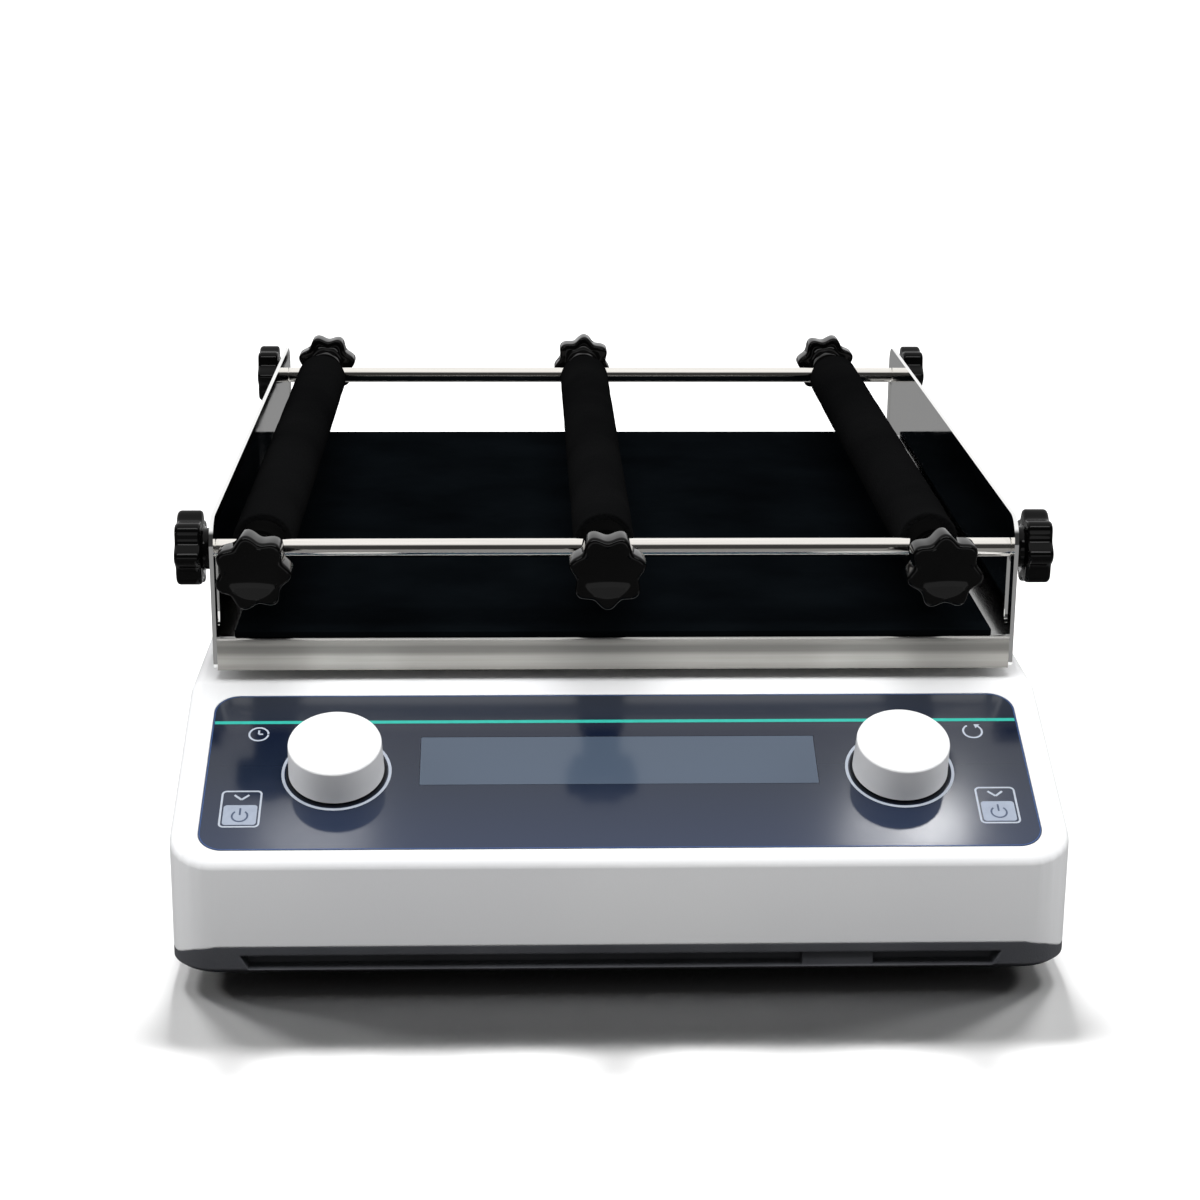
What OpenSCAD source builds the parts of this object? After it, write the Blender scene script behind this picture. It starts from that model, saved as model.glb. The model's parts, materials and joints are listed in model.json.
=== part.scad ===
// Bench-top orbital shaker with a clamping platform
// Front faces -Y, +X is to the right, +Z is up; the origin is under the middle of the whole object.

/* [Base] */
// Width of the base across its sides
base_w = 267; // [240:1:300]
// Depth of the base from its front face to its rear face
base_d = 362; // [350:1:400]
// Height of the rubber feet
foot_h = 7; // [5:0.5:12]
// Diameter of the rubber feet
foot_d = 22; // [16:1:30]
// Height of the dark chassis pan
pan_h = 8.4; // [7:0.1:12]
// Height of the white front face, up to the start of the slope
front_h = 26.8; // [22:0.5:34]
// Depth taken up by the sloped control panel
slope_run = 73; // [65:0.5:85]
// Tilt of the control panel
slope_deg = 22.4; // [16:0.1:28]
// Wall of the moulded housing
wall = 3; // [2.5:0.1:3.5]
// Radius of the upright corners of the base
corner_r = 14; // [12:0.5:18]
// Rounding of the upper housing edges
edge_r = 4; // [3.5:0.5:6]
// How much lower the parting line runs on the sides than on the front
part_step = 4; // [1:0.5:5]

/* [Control panel] */
// Width of the panel overlay
panel_w = 249.5; // [200:1:256]
// Height of the panel overlay, along the slope
panel_l = 67.5; // [55:0.5:72]
// Thickness of the panel overlay
panel_t = 0.6; // [0.4:0.1:1]
// Distance from the ridge down to the overlay
panel_drop = 6.4; // [3:0.1:10]
// Corner radius of the overlay
panel_r = 7.5; // [4:0.5:12]
// Width of the display window
window_w = 121; // [90:1:130]
// Height of the display window, along the slope
window_l = 21.3; // [16:0.1:28]
// Distance from the ridge down to the middle of the display window
window_drop = 36.2; // [28:0.1:40]
// Distance between the axes of the two control knobs
knob_pitch = 171; // [160:1:190]
// Distance from the ridge down to the knob axes
knob_drop = 41; // [30:0.1:48]
// Diameter of a control knob
knob_d = 28.9; // [22:0.1:34]
// Height of a control knob
knob_h = 11.4; // [9:0.1:16]
// Gap under a control knob, which its push travel uses
knob_gap = 0.9; // [0.8:0.1:1.5]

/* [Platform] */
// Clear width between the two side plates
tray_w = 250; // [230:1:256]
// Depth of the tray and its side plates
tray_d = 277; // [260:1:290]
// Thickness of the folded steel sheet
sheet = 1.3; // [1:0.1:2]
// Height of the folded apron below the tray floor
apron_h = 10.5; // [10:0.1:16]
// Gap between the deck and the lower edge of the apron
deck_gap = 3.7; // [2:0.1:6]
// Distance from the ridge back to the front of the tray, at rest
ridge_back = 1.3; // [0.5:0.1:6]
// Height of the side plates above the tray floor
side_h = 37.9; // [34:0.5:50]
// Thickness of the rubber mat
mat_t = 1.5; // [1:0.1:3]
// Bare strip of tray floor beside the mat
mat_margin = 5.5; // [3:0.5:12]

/* [Clamping bars] */
// Diameter of the two cross rods
rod_d = 6; // [5.5:0.1:7]
// Height of the cross rods above the tray floor, at the top of their slots
rod_h = 27.1; // [24:0.1:30]
// Distance of each rod from the nearer end of the side plates
rod_in = 8; // [7:0.1:14]
// Diameter of the threaded rod ends and of the clamping studs
stud_d = 5; // [4:0.1:5]
// Width of the height slots in the side plates
slot_w = 5.6; // [5.5:0.1:5.9]
// Lower end of the height slots above the tray floor
slot_low = 1.5; // [1:0.1:6]
// Diameter of the foam rollers
foam_d = 19.5; // [16:0.1:20]
// Diameter of the steel core in a roller
core_d = 8; // [6:0.5:10]
// Place of the left roller across the tray
roller_left = -111; // [-113:0.5:-90]
// Place of the middle roller across the tray
roller_mid = -3.2; // [-20:0.1:20]
// Place of the right roller across the tray
roller_right = 100; // [80:0.5:112]

/* [Star knobs] */
// Diameter over the lobes of a star knob
star_d = 24; // [20:0.5:25]
// Depth of the scallops between the lobes
star_dip = 2.1; // [1:0.1:3]
// Number of lobes
star_lobes = 7; // [5:1:8]
// Thickness of the lobed head
star_t = 9.4; // [7:0.1:12]
// Diameter of the hub behind the head
star_hub_d = 13; // [11:0.5:15]

/* [Drive] */
// Radius of the orbit, half of the orbit diameter
orbit_r = 5; // [3:0.5:6]
// Diameter of the spindle
spindle_d = 12; // [10:0.5:14]
// Diameter of the crank pins and of the idler journals
pin_d = 8; // [6:0.5:9]
// Sideways distance of the idler cranks from the spindle
idler_x = 82; // [70:1:95]
// Lengthwise distance of the idler cranks from the spindle
idler_y = 80; // [70:1:100]
// Distance from the spindle back to the motor shaft
motor_back = 84; // [80:1:88]
// Running diameter of the driven pulley
driven_d = 80; // [70:1:84]
// Running diameter of the motor pulley
drive_d = 20; // [16:1:24]
// Thickness of the drive belt
belt_t = 1.8; // [1.2:0.1:2.5]

/* [Rear panel] */
// Sideways place of the power entry module
entry_x = 74; // [60:1:90]
// Height of the middle of the power entry module
entry_z = 38; // [35:0.5:42]
// Number of cooling slots
vent_count = 9; // [5:1:12]

/* [Hidden] */
$fn = 64;

// Clearances: running fits, seats between separate pieces, and a hair to keep cuts clean
run_fit = 0.06;
seat_gap = 0.2;
eps = 0.01;

// Rod clamp: the block runs from clamp_fore in front of the rod to clamp_aft behind it
clamp_d = 15;
clamp_fore = 7;
clamp_aft = 6;
clamp_hub = 12.1;
side_hub = 1;

// Overall length: front face of the base to the outer face of the rear clamp knobs
star_reach = clamp_fore + seat_gap + clamp_hub + star_t - rod_in;
overall_d = slope_run + ridge_back + tray_d + star_reach;
front_y = -overall_d / 2;
rear_y = front_y + base_d;

// Heights of the base
pan_floor = 2.5;
part_z = foot_h + pan_h;
side_z = part_z - part_step;
corner_z = part_z + front_h;
deck_z = corner_z + slope_run * tan(slope_deg);
slope_l = slope_run / cos(slope_deg);

// Platform places
tray_y = front_y + slope_run + ridge_back;
apron_z = deck_z + deck_gap;
floor_z = apron_z + apron_h;
rod_z = floor_z + rod_h;
front_rod_y = tray_y + rod_in;
back_rod_y = tray_y + tray_d - rod_in;
mat_z = floor_z + mat_t;
roller_x = [roller_left, roller_mid, roller_right];

// Spindle axis: the platform stands at the front of its orbit at rest
axis_y = tray_y + tray_d / 2 + orbit_r;
idler_at = [[-idler_x, -idler_y], [idler_x, -idler_y], [-idler_x, idler_y], [idler_x, idler_y]];

// Heights of the drive
carrier_t = 4;
carrier_margin = 23;
carrier_z = foot_h + 11;
carrier_top = carrier_z + carrier_t;
small_bearing_d = 22;
small_bearing_t = 7;
big_bearing_d = 28;
big_bearing_t = 8;
spindle_barrel_h = 22;
spindle_barrel_d = 38;
spindle_flange_d = 62;
pulley_z = carrier_top + spindle_barrel_h + 1;
pulley_t = 10;
cheek_z = pulley_z + pulley_t + 1;
cheek_t = 7;
cheek_d = 40;
idler_barrel_h = 30;
idler_barrel_d = 29;
idler_flange_d = 38;
idler_cheek_z = carrier_top + idler_barrel_h + 1;
idler_cheek_d = 26;
plate_t = 7;
plate_top = floor_z - sheet;
pin_top = plate_top - seat_gap;
motor_d = 52;
motor_margin = 8;
carrier_w = 2 * (idler_x + carrier_margin);
carrier_front = idler_y + carrier_margin;
carrier_rear = max(carrier_front, motor_back + motor_d / 2 + motor_margin);
motor_h = 19;
motor_y = axis_y + motor_back;
bracket_t = 2.5;

// Rectangle with round corners, centred
module round_rect(w, d, r) {
    square([w - 2 * r, d], center = true);
    square([w, d - 2 * r], center = true);
    for (x = [-1, 1], y = [-1, 1])
        translate([x * (w / 2 - r), y * (d / 2 - r)]) circle(r);
}

// Slab with round corners over the base outline, drawn in by inset
module base_slab(z, h, inset_x, inset_y, r) {
    translate([0, front_y + base_d / 2, z])
        linear_extrude(h) round_rect(base_w - 2 * inset_x, base_d - 2 * inset_y, r);
}

// Frame of the control panel: x across, y up the slope from the front edge, z out of the panel
module on_panel() {
    translate([0, front_y, corner_z]) rotate([slope_deg, 0, 0]) children();
}

// Straight ring
module ring(outer, inner, h) {
    difference() {
        cylinder(d = outer, h = h);
        translate([0, 0, -eps]) cylinder(d = inner, h = h + 2 * eps);
    }
}

// Places under the base
foot_x = base_w / 2 - 28;
foot_y = [front_y + 34, rear_y - 34];
boss_d = 10;
boss_x = base_w / 2 - 11;
boss_y = [front_y + 16, axis_y - 40, rear_y - 30];
stand_in = 5;
stand_x = carrier_w / 2 - stand_in;
stand_y = [axis_y - carrier_front + stand_in, axis_y, axis_y + carrier_rear - stand_in];
screw_d = 4;
foot_well = 3;
seat_t = 2;

// Moulded pan with a soft lower rim, a raised front edge and a long recess in its front face
recess_w = 225;
recess_z = foot_h + 0.9;
recess_h = 4.6;
recess_d = 6;
recess_block_x = 64;
recess_block_w = 21;
pan_rim = 12;
pan_soft = 1.2;
module chassis_pan() {
    color("#34373b") difference() {
        union() {
            difference() {
                hull() {
                    base_slab(foot_h + pan_soft, side_z - foot_h - pan_soft, 0, 0, corner_r, $fn = 56);
                    base_slab(foot_h, 0.5, pan_soft, pan_soft * 0.7, corner_r, $fn = 56);
                }
                base_slab(foot_h + pan_floor, pan_h, pan_rim + 5, pan_rim, corner_r - 6);
            }
            front_step(0, recess_d + 2.5);
            for (x = [-stand_x, stand_x], y = stand_y)
                translate([x, y, foot_h + 1]) cylinder(d = 13, h = carrier_z - foot_h - 1);
            for (x = [-foot_x, foot_x], y = foot_y)
                translate([x, y, foot_h + 1]) cylinder(d = 15, h = 7);
            for (y = [front_y + 100 : 45 : rear_y - 60])
                translate([0, y, foot_h + pan_floor]) cube([base_w - 3 * pan_rim, 2, 3], center = true);
        }
        pan_recess();
        for (x = [-stand_x, stand_x], y = stand_y)
            translate([x, y, foot_h + pan_floor]) cylinder(d = screw_d + 0.1, h = carrier_z);
        for (x = [-foot_x, foot_x], y = foot_y)
            translate([x, y, foot_h - 1]) cylinder(d = screw_d + 0.4, h = 6);
        for (x = [-boss_x, boss_x], y = boss_y)
            translate([x, y, foot_h - 1]) cylinder(d = screw_d + 0.4, h = pan_h + 2);
        for (x = [-boss_x, boss_x], y = boss_y)
            translate([x, y, foot_h - 1]) cylinder(d = 9, h = side_z - seat_t - foot_h + 1);
    }
}

// Raised part of the parting line along the front, falling in a soft curve round the corners
step_in = 2;
step_curve = [[0, 0], [0.22, 0.35], [0.46, 0.66], [1, 1]];
module front_step(over, deep) {
    low = base_w / 2 - step_in;
    fall = [for (c = step_curve) [low - c[0] * (corner_r - step_in), side_z + c[1] * part_step]];
    intersection() {
        base_slab(side_z - 1, part_step + 1, -over, -over, corner_r + over);
        translate([0, front_y + deep, 0]) rotate([90, 0, 0]) linear_extrude(deep + 1)
            polygon(concat([[-low, side_z - 1], [low, side_z - 1]], fall,
                [for (i = [3 : -1 : 0]) [-fall[i][0], fall[i][1]]]));
    }
}

// Long front recess with slanted ends, interrupted by one square block
module pan_recess() {
    half = recess_w / 2;
    slant = 2.2;
    difference() {
        translate([0, front_y + recess_d, 0]) rotate([90, 0, 0]) linear_extrude(recess_d + 1)
            polygon([[-half, recess_z + recess_h], [-half + slant, recess_z],
                [half - slant, recess_z], [half, recess_z + recess_h]]);
        translate([recess_block_x - recess_block_w / 2, front_y + 1.2, recess_z - 1])
            cube([recess_block_w, recess_d, recess_h + 2]);
    }
}

// Four rubber feet with a countersunk screw well
module feet() {
    color("#1c1c1e") for (x = [-foot_x, foot_x], y = foot_y)
        translate([x, y, 0]) difference() {
            rotate_extrude() polygon([[0, 0], [foot_d / 2 - 2, 0], [foot_d / 2 - 0.6, 1.4],
                [foot_d / 2, foot_h - 1], [foot_d / 2, foot_h], [0, foot_h]]);
            translate([0, 0, -1]) cylinder(d = 9.4, h = foot_well + 1);
            translate([0, 0, -1]) cylinder(d = screw_d + 0.3, h = foot_h + 2);
        }
}

// Pan-head screw, head below, with a cross recess
module screw(len, head = 8) {
    difference() {
        union() {
            translate([0, 0, -2.4]) cylinder(d = head, h = 2.4);
            translate([0, 0, -eps]) cylinder(d = screw_d, h = len);
        }
        for (a = [0, 90]) rotate(a) translate([-2, -0.5, -3]) cube([4, 1, 1.8]);
    }
}

// Screws of the base: feet, housing, carrier plate
foot_screw = foot_h + 1;
module base_screws() {
    color("#b9bcc0") {
        for (x = [-foot_x, foot_x], y = foot_y) translate([x, y, foot_well - 2 * eps]) screw(foot_screw);
        for (x = [-boss_x, boss_x], y = boss_y)
            translate([x, y, side_z - seat_t - eps]) screw(12);
        for (x = [-stand_x, stand_x], y = stand_y)
            translate([x, y, carrier_top + eps]) mirror([0, 0, 1]) screw(10);
    }
}

// Solid outer form of the housing: spheres along every upper corner, round posts below
module housing_form() {
    x = base_w / 2 - corner_r;
    arc = corner_r - edge_r;
    lean = edge_r / cos(slope_deg);
    ridge_c = front_y + (deck_z - edge_r - corner_z + lean) / tan(slope_deg);
    hull() for (s = [-1, 1]) {
        for (y = [front_y + corner_r, rear_y - corner_r])
            translate([s * x, y, side_z]) cylinder(r = corner_r, h = 1, $fn = 80);
        translate([s * (x + arc), ridge_c, deck_z - edge_r]) sphere(edge_r, $fn = 32);
        for (a = [0 : 15 : 90]) {
            along = corner_r - arc * cos(a);
            translate([s * (x + arc * sin(a)), front_y + along,
                corner_z + along * tan(slope_deg) - lean]) sphere(edge_r, $fn = 32);
            translate([s * (x + arc * sin(a)), rear_y - along, deck_z - edge_r])
                sphere(edge_r, $fn = 32);
        }
    }
}

// Room inside the housing
module housing_room() {
    fall = wall / cos(slope_deg);
    inner_front = front_y + wall;
    inner_ridge = front_y + (deck_z - wall - corner_z + fall) / tan(slope_deg);
    intersection() {
        translate([-base_w / 2, 0, 0]) rotate([90, 0, 90]) linear_extrude(base_w)
            polygon([[inner_front, side_z - 1],
                [inner_front, corner_z + wall * tan(slope_deg) - fall],
                [inner_ridge, deck_z - wall], [rear_y - wall, deck_z - wall],
                [rear_y - wall, side_z - 1]]);
        base_slab(side_z - 2, deck_z, wall, wall, corner_r - wall);
    }
}

// Height of the housing bosses above the parting line
boss_h = 25;
board_w = knob_pitch + 25;
board_l = 50;
board_drop = 14;
post_x = board_w / 2 - 5;
post_y = [slope_l - knob_drop - 21, slope_l - knob_drop + 21];
vent_pitch = 7;
vent_x = -62;
vent_h = 24;

// White moulded housing, open below
module upper_housing() {
    color("#eef0f2") difference() {
        union() {
            difference() {
                housing_form();
                housing_room();
            }
            for (s = [-1, 1], y = boss_y) {
                translate([s * boss_x, y, side_z]) cylinder(d = boss_d, h = boss_h);
                translate([s * (boss_x + base_w / 2 - 1) / 2, y, side_z + boss_h / 2])
                    cube([base_w / 2 - 1 - boss_x, 3, boss_h], center = true);
            }
            on_panel() for (x = [-post_x, post_x], y = post_y)
                translate([x, y, -board_drop + 0.1]) cylinder(d = 7, h = board_drop - wall + 1);
        }
        front_step(1, recess_d + 2.5);
        for (x = [-boss_x, boss_x], y = boss_y)
            translate([x, y, side_z - 1]) cylinder(d = screw_d + 0.1, h = 14);
        on_panel() {
            translate([0, slope_l - panel_drop - panel_l / 2, -panel_t])
                linear_extrude(5) round_rect(panel_w + 0.3, panel_l + 0.3, panel_r + 0.15);
            translate([0, slope_l - window_drop, -wall - 2])
                linear_extrude(6) square([window_w, window_l], center = true);
            for (x = [-knob_pitch / 2, knob_pitch / 2])
                translate([x, slope_l - knob_drop, -wall - 2]) cylinder(d = 9.2, h = 6);
        }
        translate([0, axis_y, deck_z - wall - 2]) cylinder(r = pin_d / 2 + orbit_r + 3, h = 6);
        for (p = idler_at)
            translate([p[0], axis_y + p[1], deck_z - wall - 2])
                cylinder(r = pin_d / 2 + orbit_r + 3, h = 6);
        translate([entry_x, rear_y - wall - 1, entry_z]) rotate([-90, 0, 0])
            linear_extrude(wall + 2) square([entry_body_w + 0.4, entry_body_h + 0.4], center = true);
        for (i = [0 : vent_count - 1])
            translate([vent_x + (i - (vent_count - 1) / 2) * vent_pitch, rear_y + 1, entry_z])
                rotate([90, 0, 0]) linear_extrude(wall + 2) vent_outline();
    }
}

// Upright cooling slot with round ends
module vent_outline() {
    square([2.6, vent_h - 2.6], center = true);
    for (s = [-1, 1]) translate([0, s * (vent_h - 2.6) / 2]) circle(d = 2.6);
}

// Printed overlay with cut-outs for the display and the two knobs
module panel_overlay() {
    color("#333c4e") on_panel() translate([0, 0, -panel_t]) linear_extrude(panel_t) difference() {
        translate([0, slope_l - panel_drop - panel_l / 2]) round_rect(panel_w, panel_l, panel_r);
        translate([0, slope_l - window_drop]) square([window_w, window_l], center = true);
        for (x = [-knob_pitch / 2, knob_pitch / 2])
            translate([x, slope_l - knob_drop]) circle(d = 9.2);
    }
}

// Clear window over the display
module display_window() {
    color("#5d6878") on_panel() translate([0, slope_l - window_drop, -wall])
        linear_extrude(wall) square([window_w - 0.3, window_l - 0.3], center = true);
}

// Display module: glass cell in a metal bezel on a carrier
bezel_lip = 9;
bezel_t = 3;
cell_lip = 3;
cell_t = 5;
module display_module() {
    color("#7d8a70") on_panel() translate([0, slope_l - window_drop, -wall - seat_gap]) {
        translate([0, 0, -bezel_t]) linear_extrude(bezel_t)
            round_rect(window_w + bezel_lip, window_l + bezel_lip, 1);
        translate([0, 0, -bezel_t - cell_t]) linear_extrude(cell_t)
            round_rect(window_w + cell_lip, window_l + cell_lip, 1);
    }
}

// Control board with its components, on the housing posts
module control_board() {
    color("#1f6b3a") on_panel() translate([0, slope_l - knob_drop, -board_drop - 1.6]) {
        difference() {
            translate([-board_w / 2, -board_l / 2, 0]) cube([board_w, board_l, 1.6]);
            for (x = [-post_x, post_x], y = [-21, 21])
                translate([x, y, -1]) cylinder(d = 3, h = 4);
        }
        for (i = [0 : 3]) translate([-48 + i * 30, 4, -2.2 + eps]) cube([14, 14, 2.2]);
        translate([-70, -19, -7]) cube([18, 8, 7 + eps]);
        translate([50, -19, -7]) cube([18, 8, 7 + eps]);
    }
}

// Two push encoders: square body and threaded bush
encoder_base = -board_drop + 0.05;
encoder_bush_d = 8.6;
module encoders() {
    color("#9aa0a6") on_panel() for (x = [-knob_pitch / 2, knob_pitch / 2])
        translate([x, slope_l - knob_drop, encoder_base]) difference() {
            union() {
                translate([-6.5, -6.5, 0]) cube([13, 13, 7]);
                cylinder(d = encoder_bush_d, h = -encoder_base - 0.3);
                translate([0, 0, 7 - eps]) cylinder(d = 12, h = -encoder_base - 7 - wall - 0.3, $fn = 6);
            }
            translate([0, 0, 1.5]) cylinder(d = shaft_d + 2 * run_fit, h = 30);
        }
}

// Push shaft of one encoder
shaft_d = 6;
shaft_out = 7.5;
module push_shaft(x) {
    color("#c9ccd0") on_panel() translate([x, slope_l - knob_drop, encoder_base + 2.4])
        cylinder(d = shaft_d, h = shaft_out + knob_gap - encoder_base - 2.4);
}
module time_shaft() { push_shaft(-knob_pitch / 2); }
module speed_shaft() { push_shaft(knob_pitch / 2); }

// Control knob: slightly tapered cap with a soft edge, a finger dent and a blind bore
module control_knob(x, dent_deg) {
    r = knob_d / 2;
    soft = 0.8;
    draft = 0.4;
    skirt = 1.6;
    color("#f1f2f3") on_panel() translate([x, slope_l - knob_drop, knob_gap]) difference() {
        union() {
            rotate_extrude() {
                polygon([[0, 0], [r, 0], [r - draft, knob_h - soft],
                    [r - draft - soft, knob_h - soft], [r - draft - soft, knob_h], [0, knob_h]]);
                translate([r - draft - soft, knob_h - soft]) intersection() {
                    circle(soft);
                    square(soft);
                }
            }
        }
        translate([0, 0, -eps]) ring(2 * r - 2 * skirt, 11, knob_h - 3.4);
        translate([0, 0, -eps]) cylinder(d = shaft_d + 2 * run_fit, h = shaft_out + 0.4);
        rotate(dent_deg) translate([0, r - 4.2, knob_h + 4.3]) sphere(r = 4.8);
    }
}
module time_knob() { control_knob(-knob_pitch / 2, 30); }
module speed_knob() { control_knob(knob_pitch / 2, 38); }

// Power supply board in the front of the pan
supply_w = 140;
supply_d = 56;
supply_back = 58;
supply_post = 5;
coil_w = 34;
coil_d = 30;
coil_h = 17;
coil_x = -56;
module power_board() {
    board_z = foot_h + pan_floor + supply_post;
    color("#8a6a2c") translate([0, front_y + supply_back, 0]) {
        translate([-supply_w / 2, -supply_d / 2, board_z]) cube([supply_w, supply_d, 1.6]);
        for (x = [-1, 1], y = [-1, 1])
            translate([x * (supply_w / 2 - 6), y * (supply_d / 2 - 6), foot_h + pan_floor + 0.02])
                cylinder(d = 6, h = supply_post + 0.1);
        translate([coil_x, -18, board_z + 1.6 - eps]) cube([coil_w, coil_d, coil_h]);
        for (x = [2, 24]) translate([x, -6, board_z + 1.6 - eps]) cylinder(d = 16, h = 18);
        translate([42, -20, board_z + 1.6 - eps]) cube([16, 36, 12]);
    }
}

// Power entry module: inlet recess with three flat pins, and a seat for the rocker
entry_body_w = 49;
entry_body_h = 27;
entry_flange_w = 56;
entry_flange_h = 32;
entry_out = 2.2;
inlet_w = 24.4;
inlet_h = 16.4;
inlet_deep = 16;
inlet_dx = 9.5;
rocker_dx = -15;
rocker_w = 11;
rocker_h = 20;
module power_entry() {
    color("#17181a") translate([entry_x, rear_y, entry_z]) {
        difference() {
            union() {
                rotate([-90, 0, 0]) translate([0, 0, seat_gap / 2]) linear_extrude(entry_out)
                    round_rect(entry_flange_w, entry_flange_h, 3);
                translate([-entry_body_w / 2, -inlet_deep - 3, -entry_body_h / 2])
                    cube([entry_body_w, inlet_deep + 3 + 1, entry_body_h]);
            }
            translate([inlet_dx - inlet_w / 2, entry_out - inlet_deep, -inlet_h / 2])
                cube([inlet_w, inlet_deep + 1, inlet_h]);
            translate([rocker_dx - rocker_w / 2 - 0.4, -9, -rocker_h / 2 - 0.6])
                cube([rocker_w + 0.8, 20, rocker_h + 1.2]);
            for (s = [-1, 1]) translate([s * (entry_flange_w / 2 - 3.4), 5, 0])
                rotate([90, 0, 0]) cylinder(d = 2.4, h = 10);
        }
        for (p = [[-7, -2], [0, 2], [7, -2]])
            translate([inlet_dx + p[0] - 1, -inlet_deep - 1, p[1] - 2]) cube([2, inlet_deep - 2, 4]);
        translate([rocker_dx, -3, 0]) rotate([0, 90, 0])
            cylinder(d = 2.5, h = rocker_w + 3, center = true);
    }
}

// Rocker of the power switch, drawn tilted to its off side
rocker_tilt = 8;
module power_rocker() {
    color("#101113") translate([entry_x + rocker_dx, rear_y - 3, entry_z]) rotate([rocker_tilt, 0, 0])
        rotate([90, 0, 90]) translate([0, 0, -rocker_w / 2]) linear_extrude(rocker_w) difference() {
            polygon([[-1, -5], [2, -rocker_h / 2 + 1.4], [5.6, -rocker_h / 2 + 1], [4.6, 0],
                [5.6, rocker_h / 2 - 1], [2, rocker_h / 2 - 1.4], [-1, 5], [-3, 0]]);
            circle(d = 2.5 + 2 * run_fit);
        }
}

// Steel plate that carries the drive, with lightening holes and room for the housing bosses
light_hole_d = 30;
module carrier_plate() {
    color("#8f959b") translate([0, axis_y, carrier_z]) difference() {
        translate([0, (carrier_rear - carrier_front) / 2, 0]) linear_extrude(carrier_t)
            round_rect(carrier_w, carrier_front + carrier_rear, 6);
        for (x = [-stand_x, stand_x], y = stand_y)
            translate([x, y - axis_y, -1]) cylinder(d = screw_d + 0.3, h = carrier_t + 2);
        for (x = [-1, 1], y = [-1, 1])
            translate([x * idler_x * 0.62, y * idler_y * 0.58, -1])
                cylinder(d = light_hole_d, h = carrier_t + 2);
        translate([0, 30 - carrier_front, -1]) cylinder(d = 1.3 * light_hole_d, h = carrier_t + 2);
        for (x = [-boss_x, boss_x], y = boss_y)
            translate([x, y - axis_y, -1]) cylinder(d = boss_d + 2, h = carrier_t + 2);
    }
}

// Flanged barrel that holds the two spindle bearings
module spindle_housing() {
    color("#a9afb5") translate([0, axis_y, carrier_top]) difference() {
        union() {
            cylinder(d = spindle_flange_d, h = 4);
            cylinder(d = spindle_barrel_d, h = spindle_barrel_h);
            for (a = [45 : 90 : 315]) rotate(a) translate([spindle_barrel_d / 2 - 3, -2, 0])
                cube([(spindle_flange_d - spindle_barrel_d) / 2, 4, 12]);
        }
        translate([0, 0, 2]) cylinder(d = big_bearing_d + 2 * run_fit, h = spindle_barrel_h);
        for (a = [0 : 90 : 270]) rotate(a) translate([spindle_flange_d / 2 - 6, 0, -1])
            cylinder(d = 4.3, h = 6);
    }
}

// Flanged barrels of the four idler cranks
module idler_housings() {
    color("#a9afb5") for (p = idler_at) translate([p[0], axis_y + p[1], carrier_top]) difference() {
        union() {
            cylinder(d = idler_flange_d, h = 3);
            cylinder(d = idler_barrel_d, h = idler_barrel_h);
        }
        translate([0, 0, 2]) cylinder(d = small_bearing_d + 2 * run_fit, h = idler_barrel_h);
    }
}

// Ball bearing drawn as inner ring, outer ring and shield
module bearing(outer, inner, h) {
    difference() {
        cylinder(d = outer, h = h);
        translate([0, 0, -eps]) cylinder(d = inner + 2 * run_fit, h = h + 2 * eps);
        for (z = [-1, h - 0.4]) translate([0, 0, z])
            ring(outer - 3.2, inner + 3.4, 1.4);
    }
}

// Bearings in the base
module shaft_bearings() {
    color("#c4c8cc") {
        for (z = [2.2, spindle_barrel_h - big_bearing_t])
            translate([0, axis_y, carrier_top + z]) bearing(big_bearing_d, spindle_d, big_bearing_t);
        for (p = idler_at, z = [2.2, idler_barrel_h - small_bearing_t])
            translate([p[0], axis_y + p[1], carrier_top + z])
                bearing(small_bearing_d, pin_d, small_bearing_t);
    }
}

// Folded bracket over the motor
bracket_d = 48;
bracket_foot = 10;
module motor_bracket() {
    w = motor_d + 2 * motor_margin;
    h = motor_h + 1;
    color("#8f959b") translate([0, motor_y, carrier_top]) difference() {
        union() {
            translate([-w / 2, -bracket_d / 2, h]) cube([w, bracket_d, bracket_t]);
            for (s = [-1, 1]) {
                translate([s * w / 2 - (s > 0 ? bracket_t : 0), -bracket_d / 2, 0])
                    cube([bracket_t, bracket_d, h + eps]);
                translate([s > 0 ? w / 2 - eps : -w / 2 - bracket_foot + eps, -bracket_d / 2, 0])
                    cube([bracket_foot, bracket_d, bracket_t]);
            }
        }
        translate([0, 0, h - 1]) cylinder(d = 14, h = bracket_t + 2);
    }
}

// Flat motor under the bracket
module motor() {
    color("#55595e") translate([0, motor_y, carrier_top]) difference() {
        union() {
            translate([0, 0, seat_gap]) cylinder(d = motor_d, h = motor_h);
            translate([0, 0, motor_h]) cylinder(d = 13.4, h = 3.4);
        }
        translate([0, 0, 3]) cylinder(d = 6 + 2 * run_fit, h = motor_h + 6);
    }
}

// Motor shaft with its flanged pulley
module motor_pulley() {
    color("#d0d3d6") translate([0, motor_y, 0]) {
        translate([0, 0, carrier_top + 3.3]) cylinder(d = 6, h = pulley_z + pulley_t - carrier_top - 3.3);
        pulley(drive_d, pulley_t);
    }
}

// Flanged flat pulley at belt height
flange_t = 0.9;
module pulley(d, h) {
    translate([0, 0, pulley_z]) {
        cylinder(d = d, h = h);
        cylinder(d = d + 5, h = flange_t);
        translate([0, 0, h - flange_t]) cylinder(d = d + 5, h = flange_t);
    }
}

// Round belt loop outline around both pulleys
module loop_outline(grow) {
    hull() {
        translate([0, axis_y]) circle(d = driven_d + 2 * grow, $fn = 96);
        translate([0, motor_y]) circle(d = drive_d + 2 * grow, $fn = 48);
    }
}

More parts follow.
